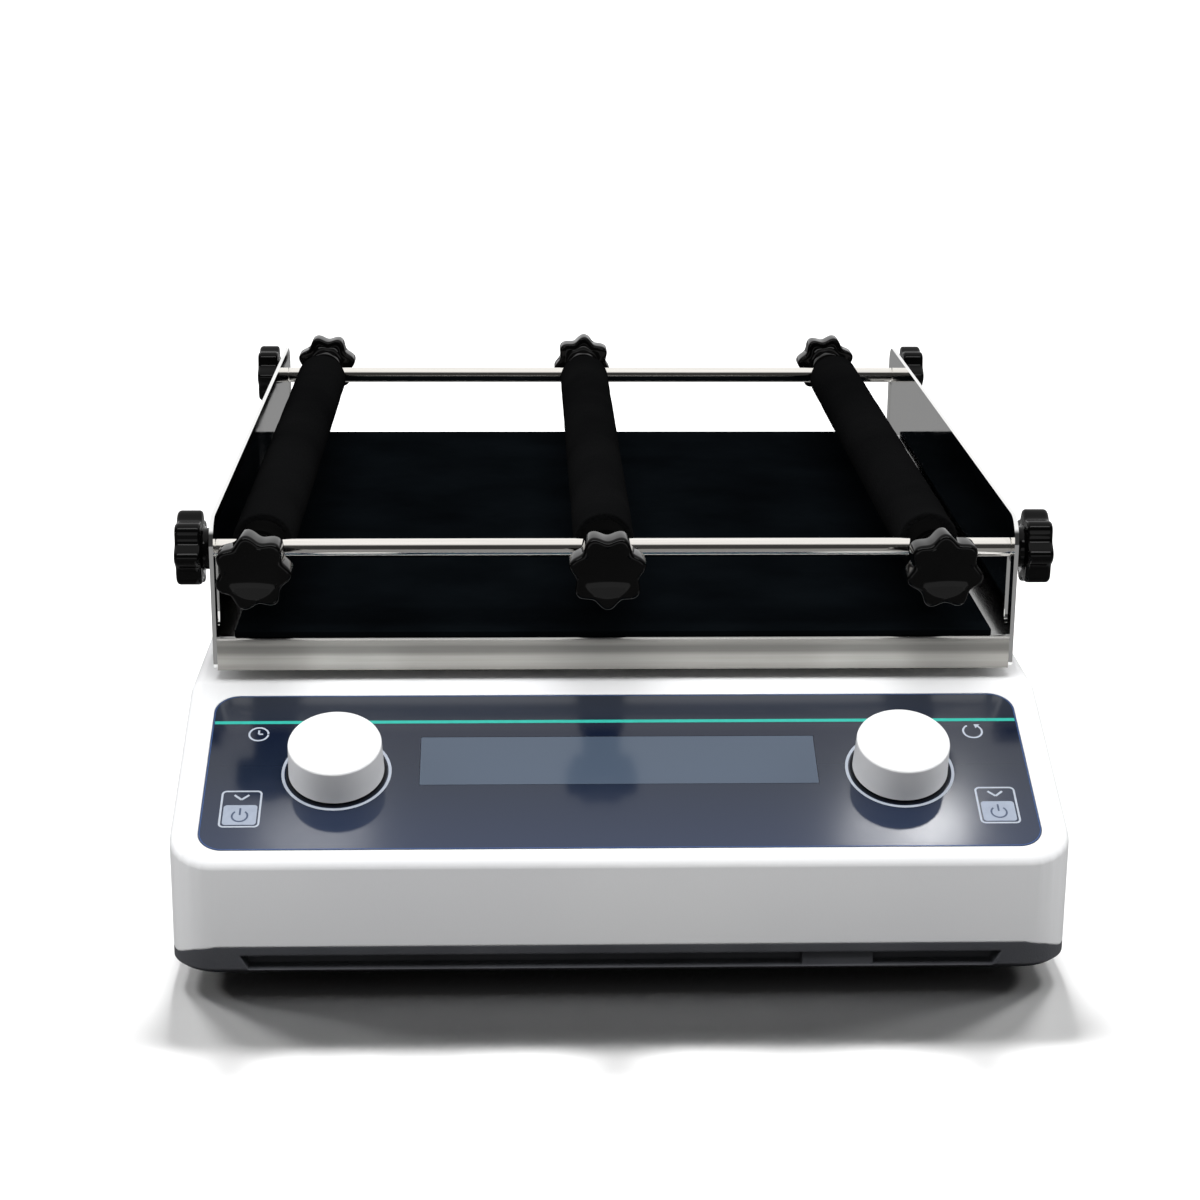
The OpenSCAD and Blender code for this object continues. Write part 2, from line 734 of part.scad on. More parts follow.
// Drive belt
module drive_belt() {
    color("#1a1a1a") translate([0, 0, pulley_z + flange_t + 0.3])
        linear_extrude(pulley_t - 2 * flange_t - 0.6) difference() {
            loop_outline(belt_t + 0.1);
            loop_outline(0.1);
        }
}

// Spindle with its crank cheek and the eccentric pin that carries the platform
module spindle() {
    color("#b4b9be") translate([0, axis_y, 0]) {
        translate([0, 0, carrier_top + 2.6]) cylinder(d = spindle_d, h = cheek_z - carrier_top - 2.6 + eps);
        translate([0, 0, cheek_z]) cylinder(d = cheek_d, h = cheek_t);
        translate([0, -orbit_r, cheek_z + cheek_t - eps])
            cylinder(d = pin_d, h = pin_top - cheek_z - cheek_t);
    }
}

// Driven pulley with spokes between hub and rim
module driven_pulley() {
    color("#9aa0a6") translate([0, axis_y, 0]) difference() {
        pulley(driven_d, pulley_t);
        translate([0, 0, pulley_z - 1]) cylinder(d = spindle_d + 2 * run_fit, h = pulley_t + 2);
        for (a = [0 : 60 : 300]) rotate(a) translate([driven_d * 0.31, 0, pulley_z - 1])
            cylinder(d = driven_d * 0.22, h = pulley_t + 2);
    }
}

// Half-ring counterweight on the cheek, opposite the pin
weight_d = 74;
module counterweight() {
    color("#6f757b") translate([0, axis_y, cheek_z]) difference() {
        ring(weight_d, cheek_d + 2 * run_fit, cheek_t);
        translate([-weight_d, -weight_d + 4, -1]) cube([2 * weight_d, weight_d, cheek_t + 2]);
    }
}

// Idler crank: journal, round cheek and eccentric pin
module idler_crank(p) {
    color("#b4b9be") translate([p[0], axis_y + p[1], 0]) {
        translate([0, 0, carrier_top + 2.6]) cylinder(d = pin_d, h = idler_cheek_z - carrier_top - 2.6 + eps);
        translate([0, 0, idler_cheek_z]) cylinder(d = idler_cheek_d, h = cheek_t);
        translate([0, -orbit_r, idler_cheek_z + cheek_t - eps])
            cylinder(d = pin_d, h = pin_top - idler_cheek_z - cheek_t);
    }
}
module idler_crank_1() { idler_crank(idler_at[0]); }
module idler_crank_2() { idler_crank(idler_at[1]); }
module idler_crank_3() { idler_crank(idler_at[2]); }
module idler_crank_4() { idler_crank(idler_at[3]); }

// Pin places on the platform at rest
pin_at = concat([[0, 0]], idler_at);
plate_w = 2 * idler_x + 46;
plate_d = 2 * idler_y + 46;

// Aluminium plate under the tray with the five bearing seats
module platform_plate() {
    color("#c2c6ca") translate([0, axis_y - orbit_r, plate_top - plate_t]) difference() {
        linear_extrude(plate_t) round_rect(plate_w, plate_d, 10);
        for (p = pin_at) translate([p[0], p[1], -1])
            cylinder(d = small_bearing_d + 2 * run_fit, h = plate_t + 2);
        for (x = [-1, 1], y = [-1, 1])
            translate([x * idler_x / 2, y * idler_y / 2, -1]) cylinder(d = 36, h = plate_t + 2);
        for (x = [-1, 1], y = [-1, 1]) translate([x * tray_screw_x, y * tray_screw_y, -1])
            cylinder(d = screw_d + 0.1, h = plate_t + 2);
    }
}

// Bearings in the platform plate
module platform_bearings() {
    color("#c4c8cc") for (p = pin_at)
        translate([p[0], axis_y - orbit_r + p[1], plate_top - plate_t])
            bearing(small_bearing_d, pin_d, small_bearing_t - 0.1);
}

// Folded stainless tray: flat floor with an apron turned down on all four sides
bend_r = 2;
tray_screw_x = idler_x + 10;
tray_screw_y = idler_y - 26;
side_screw_y = [tray_y + 40, tray_y + tray_d / 2, tray_y + tray_d - 40];
side_screw_z = apron_z + 4.5;
module tray_skin(inset) {
    r = bend_r - inset;
    d = tray_d - 2 * inset;
    top = floor_z - inset;
    translate([-tray_w / 2 + inset, tray_y + inset, 0]) rotate([90, 0, 90])
        linear_extrude(tray_w - 2 * inset) {
            translate([0, apron_z - (inset > 0 ? 1 : 0)]) square([d, top - r - apron_z + (inset > 0 ? 1 : 0)]);
            translate([r, apron_z + 1]) square([d - 2 * r, top - apron_z - 1]);
            for (y = [r, d - r]) translate([y, top - r]) circle(r);
        }
}
module tray() {
    color("#c9c7bf") difference() {
        tray_skin(0);
        tray_skin(sheet);
        for (x = [-1, 1], y = [-1, 1])
            translate([x * tray_screw_x, axis_y - orbit_r + y * tray_screw_y, floor_z - 5])
                cylinder(d = screw_d + 0.3, h = 8);
        for (y = side_screw_y) translate([-tray_w, y, side_screw_z]) rotate([0, 90, 0])
            cylinder(d = 3.3, h = 2 * tray_w);
    }
}

// Outline of a side plate, y along the tray and x as height above the apron edge
side_all_h = apron_h + side_h;
front_corner_r = 9;
back_corner_r = 6.5;
module side_outline() {
    h = side_all_h;
    difference() {
        square([tray_d, h]);
        corner_cut(0, h, 1, -1, front_corner_r);
        corner_cut(tray_d, h, -1, -1, back_corner_r);
        corner_cut(0, 0, 1, 1, 2);
        corner_cut(tray_d, 0, -1, 1, 2);
        for (y = [rod_in, tray_d - rod_in]) {
            translate([y - slot_w / 2, apron_h + slot_low + slot_w / 2])
                square([slot_w, rod_h - slot_low - slot_w / 2]);
            for (z = [apron_h + slot_low + slot_w / 2, apron_h + rod_h])
                translate([y, z]) circle(d = slot_w);
        }
        for (y = side_screw_y) translate([y - tray_y, side_screw_z - apron_z]) circle(d = 3.4);
    }
}

// Cutter that rounds one corner of an outline
module corner_cut(x, y, sx, sy, r) {
    difference() {
        translate([x + (sx > 0 ? -1 : -r), y + (sy > 0 ? -1 : -r)]) square([r + 1, r + 1]);
        translate([x + sx * r, y + sy * r]) circle(r);
    }
}
module side_plate(x) {
    translate([x, tray_y, apron_z]) rotate([90, 0, 90]) linear_extrude(sheet) side_outline();
}
module left_side_plate() { color("#d2d4d4") side_plate(-tray_w / 2 - sheet); }
module right_side_plate() { color("#d2d4d4") side_plate(tray_w / 2); }

// Rubber mat on the tray floor
mat_front = 1.6;
mat_corner = 1;
module tray_mat() {
    color("#16191c") translate([0, tray_y + tray_d / 2, floor_z])
        linear_extrude(mat_t) round_rect(tray_w - 2 * mat_margin, tray_d - 2 * mat_front, mat_corner);
}

// Screws of the tray: into the plate below and through both side plates
module tray_screws() {
    color("#c4c8cc") {
        for (x = [-1, 1], y = [-1, 1])
            translate([x * tray_screw_x, axis_y - orbit_r + y * tray_screw_y, plate_top - plate_t - 0.1])
                screw(plate_t + sheet, 8);
        for (s = [-1, 1], y = side_screw_y)
            translate([s * (tray_w / 2 + sheet), y, side_screw_z]) rotate([0, s * 90, 0])
                side_screw();
    }
}
module side_screw() {
    difference() {
        union() {
            cylinder(d = 6, h = 1.6);
            translate([0, 0, -5]) cylinder(d = 3, h = 5 + eps);
        }
        translate([0, 0, 0.8]) cylinder(d = 3, h = 2, $fn = 6);
    }
}

// Cross rod with a shoulder inside each side plate and a threaded end through the slot
rod_shoulder = tray_w / 2 - seat_gap;
spigot_out = 8;
module cross_rod(y) {
    color("#d6d8da") translate([0, y, rod_z]) rotate([0, 90, 0]) {
        cylinder(d = rod_d, h = 2 * rod_shoulder, center = true);
        cylinder(d = stud_d, h = tray_w + 2 * sheet + 2 * spigot_out, center = true);
    }
}
module front_rod() { cross_rod(front_rod_y); }
module back_rod() { cross_rod(back_rod_y); }

// Radius of the lobed outline at angle a
function star_r(a) = star_d / 2 - star_dip / 2 + star_dip / 2 * cos(star_lobes * a);
star_steps = star_lobes * 10;
module star_outline() {
    polygon([for (i = [0 : star_steps - 1]) let (a = 360 * i / star_steps)
        star_r(a) * [cos(a), sin(a)]]);
}

// Star knob along +Z: hub from 0, then the lobed head with drawn-in faces and a round dish
module star_knob(hub, stud) {
    bevel = 1.5;
    back_bevel = 1;
    difference() {
        union() {
            cylinder(d = star_hub_d, h = hub + eps);
            translate([0, 0, hub + back_bevel]) mirror([0, 0, 1])
                linear_extrude(back_bevel, scale = 0.9) star_outline();
            translate([0, 0, hub + back_bevel - eps])
                linear_extrude(star_t - bevel - back_bevel + 2 * eps) star_outline();
            translate([0, 0, hub + star_t - bevel]) linear_extrude(bevel, scale = 0.86) star_outline();
            if (stud > 0) translate([0, 0, -stud]) cylinder(d = stud_d, h = stud + eps);
        }
        translate([0, 0, hub + star_t - 0.8]) ring(15, 8.5, 2);
        if (stud == 0) translate([0, 0, -eps]) cylinder(d = stud_d + 2 * run_fit, h = spigot_out + 0.6);
    }
}

// Star knob on a rod end, side is -1 left or 1 right
module rod_star(y, side, turn) {
    color("#121315") translate([side * (tray_w / 2 + sheet + seat_gap), y, rod_z])
        rotate([0, side * 90, 0]) rotate(turn) star_knob(side_hub, 0);
}
module front_left_star() { rod_star(front_rod_y, -1, 26); }
module front_right_star() { rod_star(front_rod_y, 1, 12); }
module back_left_star() { rod_star(back_rod_y, -1, 40); }
module back_right_star() { rod_star(back_rod_y, 1, 5); }

// Roller pieces: core and foam run between the two blocks, which clamp on the rods
core_len = back_rod_y - front_rod_y - 2 * clamp_aft;
foam_gap = 1;
module roller_core(x) {
    color("#b9bdc1") translate([x, front_rod_y + clamp_aft, rod_z]) rotate([-90, 0, 0])
        cylinder(d = core_d, h = core_len);
}
module roller_foam(x) {
    color("#1b1c1e") translate([x, front_rod_y + clamp_aft + foam_gap, rod_z]) rotate([-90, 0, 0])
        ring(foam_d, core_d + 2 * run_fit, core_len - 2 * foam_gap);
}

// One clamp block, pointing away from the foam along dir
module clamp_block(x, y, dir) {
    translate([x, y, rod_z]) difference() {
        rotate([90 * dir, 0, 0]) translate([0, 0, -clamp_aft]) {
            cylinder(d = clamp_d, h = clamp_fore + clamp_aft - 1);
            cylinder(d = clamp_d - 2, h = clamp_fore + clamp_aft);
        }
        rotate([0, 90, 0]) cylinder(d = rod_d + 2 * run_fit, h = 30, center = true);
        rotate([90 * dir, 0, 0]) cylinder(d = stud_d + 2 * run_fit, h = 20);
    }
}
module roller_blocks(x) {
    color("#141517") {
        clamp_block(x, front_rod_y, 1);
        clamp_block(x, back_rod_y, -1);
    }
}
module left_roller_core() { roller_core(roller_x[0]); }
module left_roller_foam() { roller_foam(roller_x[0]); }
module left_roller_blocks() { roller_blocks(roller_x[0]); }
module middle_roller_core() { roller_core(roller_x[1]); }
module middle_roller_foam() { roller_foam(roller_x[1]); }
module middle_roller_blocks() { roller_blocks(roller_x[1]); }
module right_roller_core() { roller_core(roller_x[2]); }
module right_roller_foam() { roller_foam(roller_x[2]); }
module right_roller_blocks() { roller_blocks(roller_x[2]); }

// Star knob that presses its stud on the rod through the block, dir 1 front or -1 back
module clamp_star(x, y, dir, turn) {
    stud = clamp_fore + seat_gap - rod_d / 2 - 0.3;
    color("#121315") translate([x, y - dir * (clamp_fore + seat_gap), rod_z])
        rotate([90 * dir, 0, 0]) rotate(turn) star_knob(clamp_hub, stud);
}
module left_front_clamp_star() { clamp_star(roller_x[0], front_rod_y, 1, 10); }
module left_back_clamp_star() { clamp_star(roller_x[0], back_rod_y, -1, 20); }
module middle_front_clamp_star() { clamp_star(roller_x[1], front_rod_y, 1, 30); }
module middle_back_clamp_star() { clamp_star(roller_x[1], back_rod_y, -1, 5); }
module right_front_clamp_star() { clamp_star(roller_x[2], front_rod_y, 1, 22); }
module right_back_clamp_star() { clamp_star(roller_x[2], back_rod_y, -1, 33); }

chassis_pan();
feet();
base_screws();
upper_housing();
panel_overlay();
display_window();
display_module();
control_board();
encoders();
time_shaft();
time_knob();
speed_shaft();
speed_knob();
power_board();
power_entry();
power_rocker();
carrier_plate();
spindle_housing();
shaft_bearings();
idler_housings();
motor_bracket();
motor();
motor_pulley();
drive_belt();
spindle();
driven_pulley();
counterweight();
idler_crank_1();
idler_crank_2();
idler_crank_3();
idler_crank_4();
platform_plate();
platform_bearings();
tray();
left_side_plate();
right_side_plate();
tray_mat();
tray_screws();
front_rod();
back_rod();
left_roller_core();
left_roller_foam();
left_roller_blocks();
middle_roller_core();
middle_roller_foam();
middle_roller_blocks();
right_roller_core();
right_roller_foam();
right_roller_blocks();
front_left_star();
front_right_star();
back_left_star();
back_right_star();
left_front_clamp_star();
left_back_clamp_star();
middle_front_clamp_star();
middle_back_clamp_star();
right_front_clamp_star();
right_back_clamp_star();
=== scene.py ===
"""Looks of a bench-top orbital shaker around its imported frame.

The CAD nodes keep their meshes and take materials. The heads of the star knobs, the skins of the
foam rollers and the panel print are made here, and each rides its body of the frame.
Lengths are in metres, mostly written as millimetres times MM.
"""

import json
import math
import random

import bmesh
import bpy
from mathutils import Matrix, Vector


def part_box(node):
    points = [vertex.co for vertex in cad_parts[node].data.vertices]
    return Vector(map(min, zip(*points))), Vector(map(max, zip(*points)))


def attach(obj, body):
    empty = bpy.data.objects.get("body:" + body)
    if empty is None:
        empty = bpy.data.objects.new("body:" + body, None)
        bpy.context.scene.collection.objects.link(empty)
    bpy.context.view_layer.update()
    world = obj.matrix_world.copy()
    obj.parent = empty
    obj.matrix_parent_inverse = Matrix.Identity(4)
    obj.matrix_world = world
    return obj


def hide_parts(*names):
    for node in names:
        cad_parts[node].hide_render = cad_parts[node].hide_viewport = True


MM = 0.001

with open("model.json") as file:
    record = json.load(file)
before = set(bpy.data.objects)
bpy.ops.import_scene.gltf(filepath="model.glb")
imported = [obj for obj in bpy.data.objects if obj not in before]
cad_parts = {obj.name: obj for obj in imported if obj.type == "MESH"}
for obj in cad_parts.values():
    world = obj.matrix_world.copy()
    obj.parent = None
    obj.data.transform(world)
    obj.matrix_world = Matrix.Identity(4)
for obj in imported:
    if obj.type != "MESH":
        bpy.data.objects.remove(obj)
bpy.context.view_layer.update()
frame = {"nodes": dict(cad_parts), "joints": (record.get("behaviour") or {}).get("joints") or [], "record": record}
nodes = frame["nodes"]
bodies = frame["record"]["behaviour"]["bodies"]
body_of_node = {node: body for body, members in bodies.items() for node in members}
joints = {joint["name"]: joint for joint in frame["joints"]}


# Places taken from the frame

def low(node):
    """Lowest corner of a node's box."""
    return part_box(node)[0]


def high(node):
    """Highest corner of a node's box."""
    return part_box(node)[1]


PANEL_OUT = Vector(joints["time_press"]["axis"]).normalized()
PANEL_UP = Vector((0, PANEL_OUT.z, -PANEL_OUT.y))
DIAL_LEFT = Vector(joints["time_turn"]["pos_m"])
DIAL_RIGHT = Vector(joints["speed_turn"]["pos_m"])
PANEL_MID = (DIAL_LEFT + DIAL_RIGHT) / 2


def along_panel(node, top):
    """Distance of a panel node's lower or upper edge from the knob row, up the slope."""
    ups = [PANEL_UP.dot(v.co - PANEL_MID) for v in nodes[node].data.vertices]
    return max(ups) if top else min(ups)


OVERLAY_TOP = along_panel("panel_overlay", True)
OVERLAY_BOTTOM = along_panel("panel_overlay", False)
OVERLAY_HALF_W = high("panel_overlay").x
WINDOW_TOP = along_panel("display_window", True)
WINDOW_BOTTOM = along_panel("display_window", False)


def on_panel(x, up, out):
    """A point of the panel: across, up the slope from the knob row, and out of the surface."""
    return PANEL_MID + Vector((x, 0, 0)) + PANEL_UP * up + PANEL_OUT * out


# Mesh helpers

def add_object(name, data):
    obj = bpy.data.objects.new(name, data)
    bpy.context.scene.collection.objects.link(obj)
    return obj


def mesh_from(name, points, faces, smooth=True):
    """Object in the scene with its normals turned outward."""
    mesh = bpy.data.meshes.new(name)
    mesh.from_pydata([tuple(p) for p in points], [], faces)
    mesh.validate()
    bm = bmesh.new()
    bm.from_mesh(mesh)
    bmesh.ops.recalc_face_normals(bm, faces=bm.faces)
    bm.to_mesh(mesh)
    bm.free()
    for poly in mesh.polygons:
        poly.use_smooth = smooth
    return add_object(name, mesh)


def finish_piece(obj, body, material, stands_for=()):
    """Gives a made piece its material and body, and hides the CAD nodes it stands for."""
    obj.data.materials.clear()
    obj.data.materials.append(material)
    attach(obj, body)
    if stands_for:
        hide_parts(*stands_for)


def band_faces(rings, count, closed=False):
    """Faces between neighbouring rings of count points; closed joins the last to the first."""
    faces = []
    for r in range(rings if closed else rings - 1):
        a, b = r * count, (r + 1) % rings * count
        for i in range(count):
            j = (i + 1) % count
            faces.append((a + i, a + j, b + j, b + i))
    return faces


def capped_skin(name, rings):
    """Skin over equal rings of points, with a flat cap on the first and the last ring."""
    count = len(rings[0])
    points = [p for ring in rings for p in ring]
    faces = band_faces(len(rings), count)
    faces.append(tuple(reversed(range(count))))
    faces.append(tuple(range(len(points) - count, len(points))))
    return mesh_from(name, points, faces)


def frame_from(origin, x_dir, y_dir, z_dir):
    """Matrix that stands at origin with its axes along the three directions."""
    matrix = Matrix((x_dir, y_dir, z_dir)).transposed().to_4x4()
    matrix.translation = origin
    return matrix


# Materials

class Shader:
    """A material with a principled surface and helpers that add nodes to it.

    The colour and roughness given at the start are the material's plain values. Where nodes
    drive one of them, the nodes win.
    """

    def __init__(self, name, color, rough, metal=0.0, spec=0.5):
        self.mat = bpy.data.materials.new(name)
        self.mat.use_nodes = True
        self.tree = self.mat.node_tree
        self.bsdf = self.tree.nodes["Principled BSDF"]
        self.bsdf.inputs["Base Color"].default_value = (*color, 1)
        self.bsdf.inputs["Roughness"].default_value = rough
        self.bsdf.inputs["Metallic"].default_value = metal
        self.bsdf.inputs["Specular IOR Level"].default_value = spec

    def node(self, kind, **values):
        n = self.tree.nodes.new(kind)
        for key, value in values.items():
            setattr(n, key, value)
        return n

    def link(self, a, b):
        self.tree.links.new(a, b)

    def drive(self, value, socket):
        """Links a value to a socket of the surface."""
        self.link(value, self.bsdf.inputs[socket])

    def place(self, stretch=(1, 1, 1)):
        """Object coordinates, multiplied by stretch."""
        coord = self.node("ShaderNodeTexCoord")
        mapping = self.node("ShaderNodeMapping")
        mapping.inputs["Scale"].default_value = stretch
        self.link(coord.outputs["Object"], mapping.inputs["Vector"])
        return mapping.outputs["Vector"]

    def noise(self, scale, detail, rough=0.55, stretch=(1, 1, 1)):
        n = self.node("ShaderNodeTexNoise")
        n.inputs["Scale"].default_value = scale
        n.inputs["Detail"].default_value = detail
        n.inputs["Roughness"].default_value = rough
        self.link(self.place(stretch), n.inputs["Vector"])
        return n.outputs["Fac"]

    def spread(self, value, to_low, to_high, start=0.3, end=0.7):
        """Maps start to end onto a range; the defaults fit what a noise gives."""
        n = self.node("ShaderNodeMapRange")
        n.inputs["From Min"].default_value = start
        n.inputs["From Max"].default_value = end
        n.inputs["To Min"].default_value = to_low
        n.inputs["To Max"].default_value = to_high
        self.link(value, n.inputs["Value"])
        return n.outputs["Result"]

    def height(self):
        parts = self.node("ShaderNodeSeparateXYZ")
        self.link(self.place(), parts.inputs["Vector"])
        return parts.outputs["Z"]

    def mix(self, value, color_a, color_b):
        n = self.node("ShaderNodeMix", data_type="RGBA")
        self.link(value, n.inputs["Factor"])
        n.inputs["A"].default_value = (*color_a, 1)
        n.inputs["B"].default_value = (*color_b, 1)
        return n.outputs["Result"]

    def tones(self, value, stops):
        """Colour through (place, colour) stops; the first stands at 0 and the last at 1."""
        n = self.node("ShaderNodeValToRGB")
        ramp = n.color_ramp
        ramp.elements[0].color = (*stops[0][1], 1)
        ramp.elements[1].color = (*stops[-1][1], 1)
        for at, color in stops[1:-1]:
            ramp.elements.new(at).color = (*color, 1)
        self.link(value, n.inputs["Fac"])
        return n.outputs["Color"]

    def mottle(self, noise, color_a, color_b):
        """Base colour that drifts between two colours with a noise."""
        self.drive(self.mix(self.spread(noise, 0, 1), color_a, color_b), "Base Color")

    def rough_from(self, noise, smoothest, roughest):
        self.drive(self.spread(noise, smoothest, roughest), "Roughness")

    def bump(self, value, strength, distance, under=None):
        n = self.node("ShaderNodeBump")
        n.inputs["Strength"].default_value = strength
        n.inputs["Distance"].default_value = distance
        self.link(value, n.inputs["Height"])
        if under is not None:
            self.link(under, n.inputs["Normal"])
        self.drive(n.outputs["Normal"], "Normal")
        return n.outputs["Normal"]

    def round_edges(self, radius):
        n = self.node("ShaderNodeBevel", samples=4)
        n.inputs["Radius"].default_value = radius
        return n.outputs["Normal"]


def shade(color, factor):
    return tuple(min(1.0, c * factor) for c in color)


def housing_plastic():
    """White moulding with a fine spark-eroded grain."""
    s = Shader("housing_plastic", (0.83, 0.835, 0.845), 0.38, spec=0.42)
    s.mottle(s.noise(9, 2), (0.80, 0.805, 0.82), (0.85, 0.855, 0.862))
    s.rough_from(s.noise(60, 3), 0.34, 0.44)
    s.bump(s.noise(2400, 2), 0.12, 0.2 * MM, under=s.round_edges(0.6 * MM))
    return s.mat


def chassis_plastic():
    """Dark grey moulding, coarser than the housing."""
    s = Shader("chassis_plastic", (0.045, 0.048, 0.052), 0.55, spec=0.4)
    s.mottle(s.noise(30, 3), (0.058, 0.060, 0.068), (0.080, 0.083, 0.092))
    s.bump(s.noise(1800, 3), 0.35, 0.3 * MM, under=s.round_edges(0.8 * MM))
    return s.mat


def knob_plastic():
    """White moulding of the control knobs, a little smoother than the housing."""
    s = Shader("knob_plastic", (0.84, 0.845, 0.85), 0.33, spec=0.45)
    s.mottle(s.noise(40, 3), (0.80, 0.803, 0.81), (0.86, 0.862, 0.868))
    s.rough_from(s.noise(120, 3), 0.28, 0.4)
    s.bump(s.noise(3000, 2), 0.08, 0.2 * MM)
    return s.mat


def overlay_film():
    """Printed film: slate ground with a soft gloss; its colour down the slope is painted reflection, light at the
    top, darkest in a band below it and bluer at the bottom.
    """
    s = Shader("overlay_film", (0.014, 0.019, 0.034), 0.3, spec=0.5)
    top, bottom = on_panel(0, OVERLAY_TOP, 0).z, on_panel(0, OVERLAY_BOTTOM, 0).z
    # Painted reflection down the slope: light at the top edge, a dark band below it, bluer at the bottom.
    tone = s.tones(s.spread(s.height(), 0, 1, top, bottom), (
        (0.0, (0.030, 0.035, 0.048)),
        (0.16, (0.020, 0.025, 0.038)),
        (0.26, (0.006, 0.010, 0.024)),
        (0.5, (0.010, 0.016, 0.032)),
        (1.0, (0.017, 0.027, 0.058))))
    s.drive(tone, "Base Color")
    s.rough_from(s.noise(300, 2), 0.11, 0.12)
    return s.mat


def ink_and_painted_shade(name, color, rough=0.35):
    """Flat colour, hardly uneven: screen ink, and the painted shade round the knobs."""
    s = Shader(name, color, rough, spec=0.4)
    s.mottle(s.noise(400, 2), shade(color, 0.93), shade(color, 1.04))
    return s.mat


def display_glass():
    """Smoked window with the reflective cell close behind it; a shade darker towards its top as painted shade
    under the bezel.
    """
    s = Shader("display_glass", (0.07, 0.09, 0.12), 0.3, spec=0.5)
    top, bottom = on_panel(0, WINDOW_TOP, 0).z, on_panel(0, WINDOW_BOTTOM, 0).z
    down = s.spread(s.height(), 0, 1, top, bottom)
    # Painted shade: the window is a shade darker towards its top edge.
    s.drive(s.mix(down, (0.058, 0.080, 0.116), (0.060, 0.083, 0.122)), "Base Color")
    s.rough_from(s.noise(300, 2), 0.13, 0.14)
    return s.mat


def star_plastic():
    """Deep black moulding with a high gloss."""
    s = Shader("star_plastic", (0.001, 0.001, 0.001), 0.08, spec=0.13)
    s.mottle(s.noise(60, 3), (0.0006, 0.0006, 0.0006), (0.0014, 0.0014, 0.0014))
    s.rough_from(s.noise(140, 4), 0.04, 0.07)
    return s.mat


def matt(name, color, rough, grain, depth, spec=0.3):
    """Dull plastic, rubber, board or iron with a grain; dark unless its colour says otherwise."""
    s = Shader(name, color, rough, spec=spec)
    s.mottle(s.noise(25, 4), shade(color, 0.7), shade(color, 1.4))
    s.rough_from(s.noise(grain * 0.2, 3), rough - 0.08, rough + 0.08)
    s.bump(s.noise(grain, 3), depth, 0.3 * MM)
    return s.mat


def roller_foam():
    """Closed-cell foam with small cells."""
    s = Shader("roller_foam", (0.004, 0.004, 0.004), 0.8, spec=0.0)
    cells = s.node("ShaderNodeTexVoronoi", feature="SMOOTH_F1")
    cells.inputs["Scale"].default_value = 900
    s.link(s.place(), cells.inputs["Vector"])
    s.mottle(s.noise(18, 5), (0.003, 0.0031, 0.0033), (0.0052, 0.0053, 0.0055))
    s.bump(cells.outputs["Distance"], 0.6, 0.3 * MM)
    return s.mat


def steel(name, color, rough, stretch, grain, depth):
    """Metal with its grain along the direction that stretch shortens."""
    s = Shader(name, color, rough, metal=1.0)
    lines = s.noise(grain, 3, 0.6, stretch)
    s.mottle(lines, shade(color, 0.9), shade(color, 1.06))
    s.rough_from(lines, max(0.02, rough - 0.07), rough + 0.08)
    s.bump(lines, depth, 0.2 * MM)
    return s.mat


def tray_steel():
    """Stainless tray: brushed apron whose colour bands, dark along its middle, are painted reflection, and a
    polished floor darkened as painted shade.
    """
    s = Shader("tray_steel", (0.70, 0.69, 0.66), 0.24, metal=0.6)
    lines = s.noise(900, 3, 0.6, (0.02, 1, 1))
    height = s.height()
    bottom, top = low("tray").z, high("tray").z
    # Colour up the tray: the apron stops paint the bands of its reflection, and the last stop darkens the floor as
    # painted shade.
    apron = tuple((at, (level, level * 0.98, level * 0.92)) for at, level in (
        (0.22, 0.98), (0.42, 0.94), (0.56, 0.50), (0.72, 0.46), (0.86, 0.74)))
    tone = s.tones(s.spread(height, 0, 1, bottom, top), (
        (0.0, (0.66, 0.64, 0.60)), *apron, (1.0, (0.30, 0.30, 0.30))))
    grain = s.node("ShaderNodeMix", data_type="RGBA", blend_type="MULTIPLY")
    grain.inputs["Factor"].default_value = 1.0
    s.link(tone, grain.inputs["A"])
    s.link(s.mix(s.spread(lines, 0, 1), (0.88, 0.88, 0.88), (1, 1, 1)), grain.inputs["B"])
    s.drive(grain.outputs["Result"], "Base Color")
    s.drive(s.spread(height, 0.6, 1.0, top - 1.0 * MM, top - 0.3 * MM), "Metallic")
    s.drive(s.spread(height, 0.24, 0.08, top - 0.9 * MM, top - 0.2 * MM), "Roughness")
    s.bump(lines, 0.05, 0.1 * MM)
    return s.mat


def mirror_steel():
    """Polished sheet: long soft waves and fine handling marks."""
    s = Shader("mirror_steel", (0.93, 0.93, 0.92), 0.05, metal=1.0)
    s.rough_from(s.noise(35, 4), 0.03, 0.09)
    waves = s.bump(s.noise(14, 1), 0.08, 0.6 * MM)
    s.bump(s.noise(900, 2, 0.5, (1, 0.05, 1)), 0.03, 0.1 * MM, under=waves)
    return s.mat


ALONG_X = (0.02, 1, 1)
ALONG_Y = (1, 0.05, 1)
ALONG_Z = (1, 1, 0.1)
NO_GRAIN = (1, 1, 1)

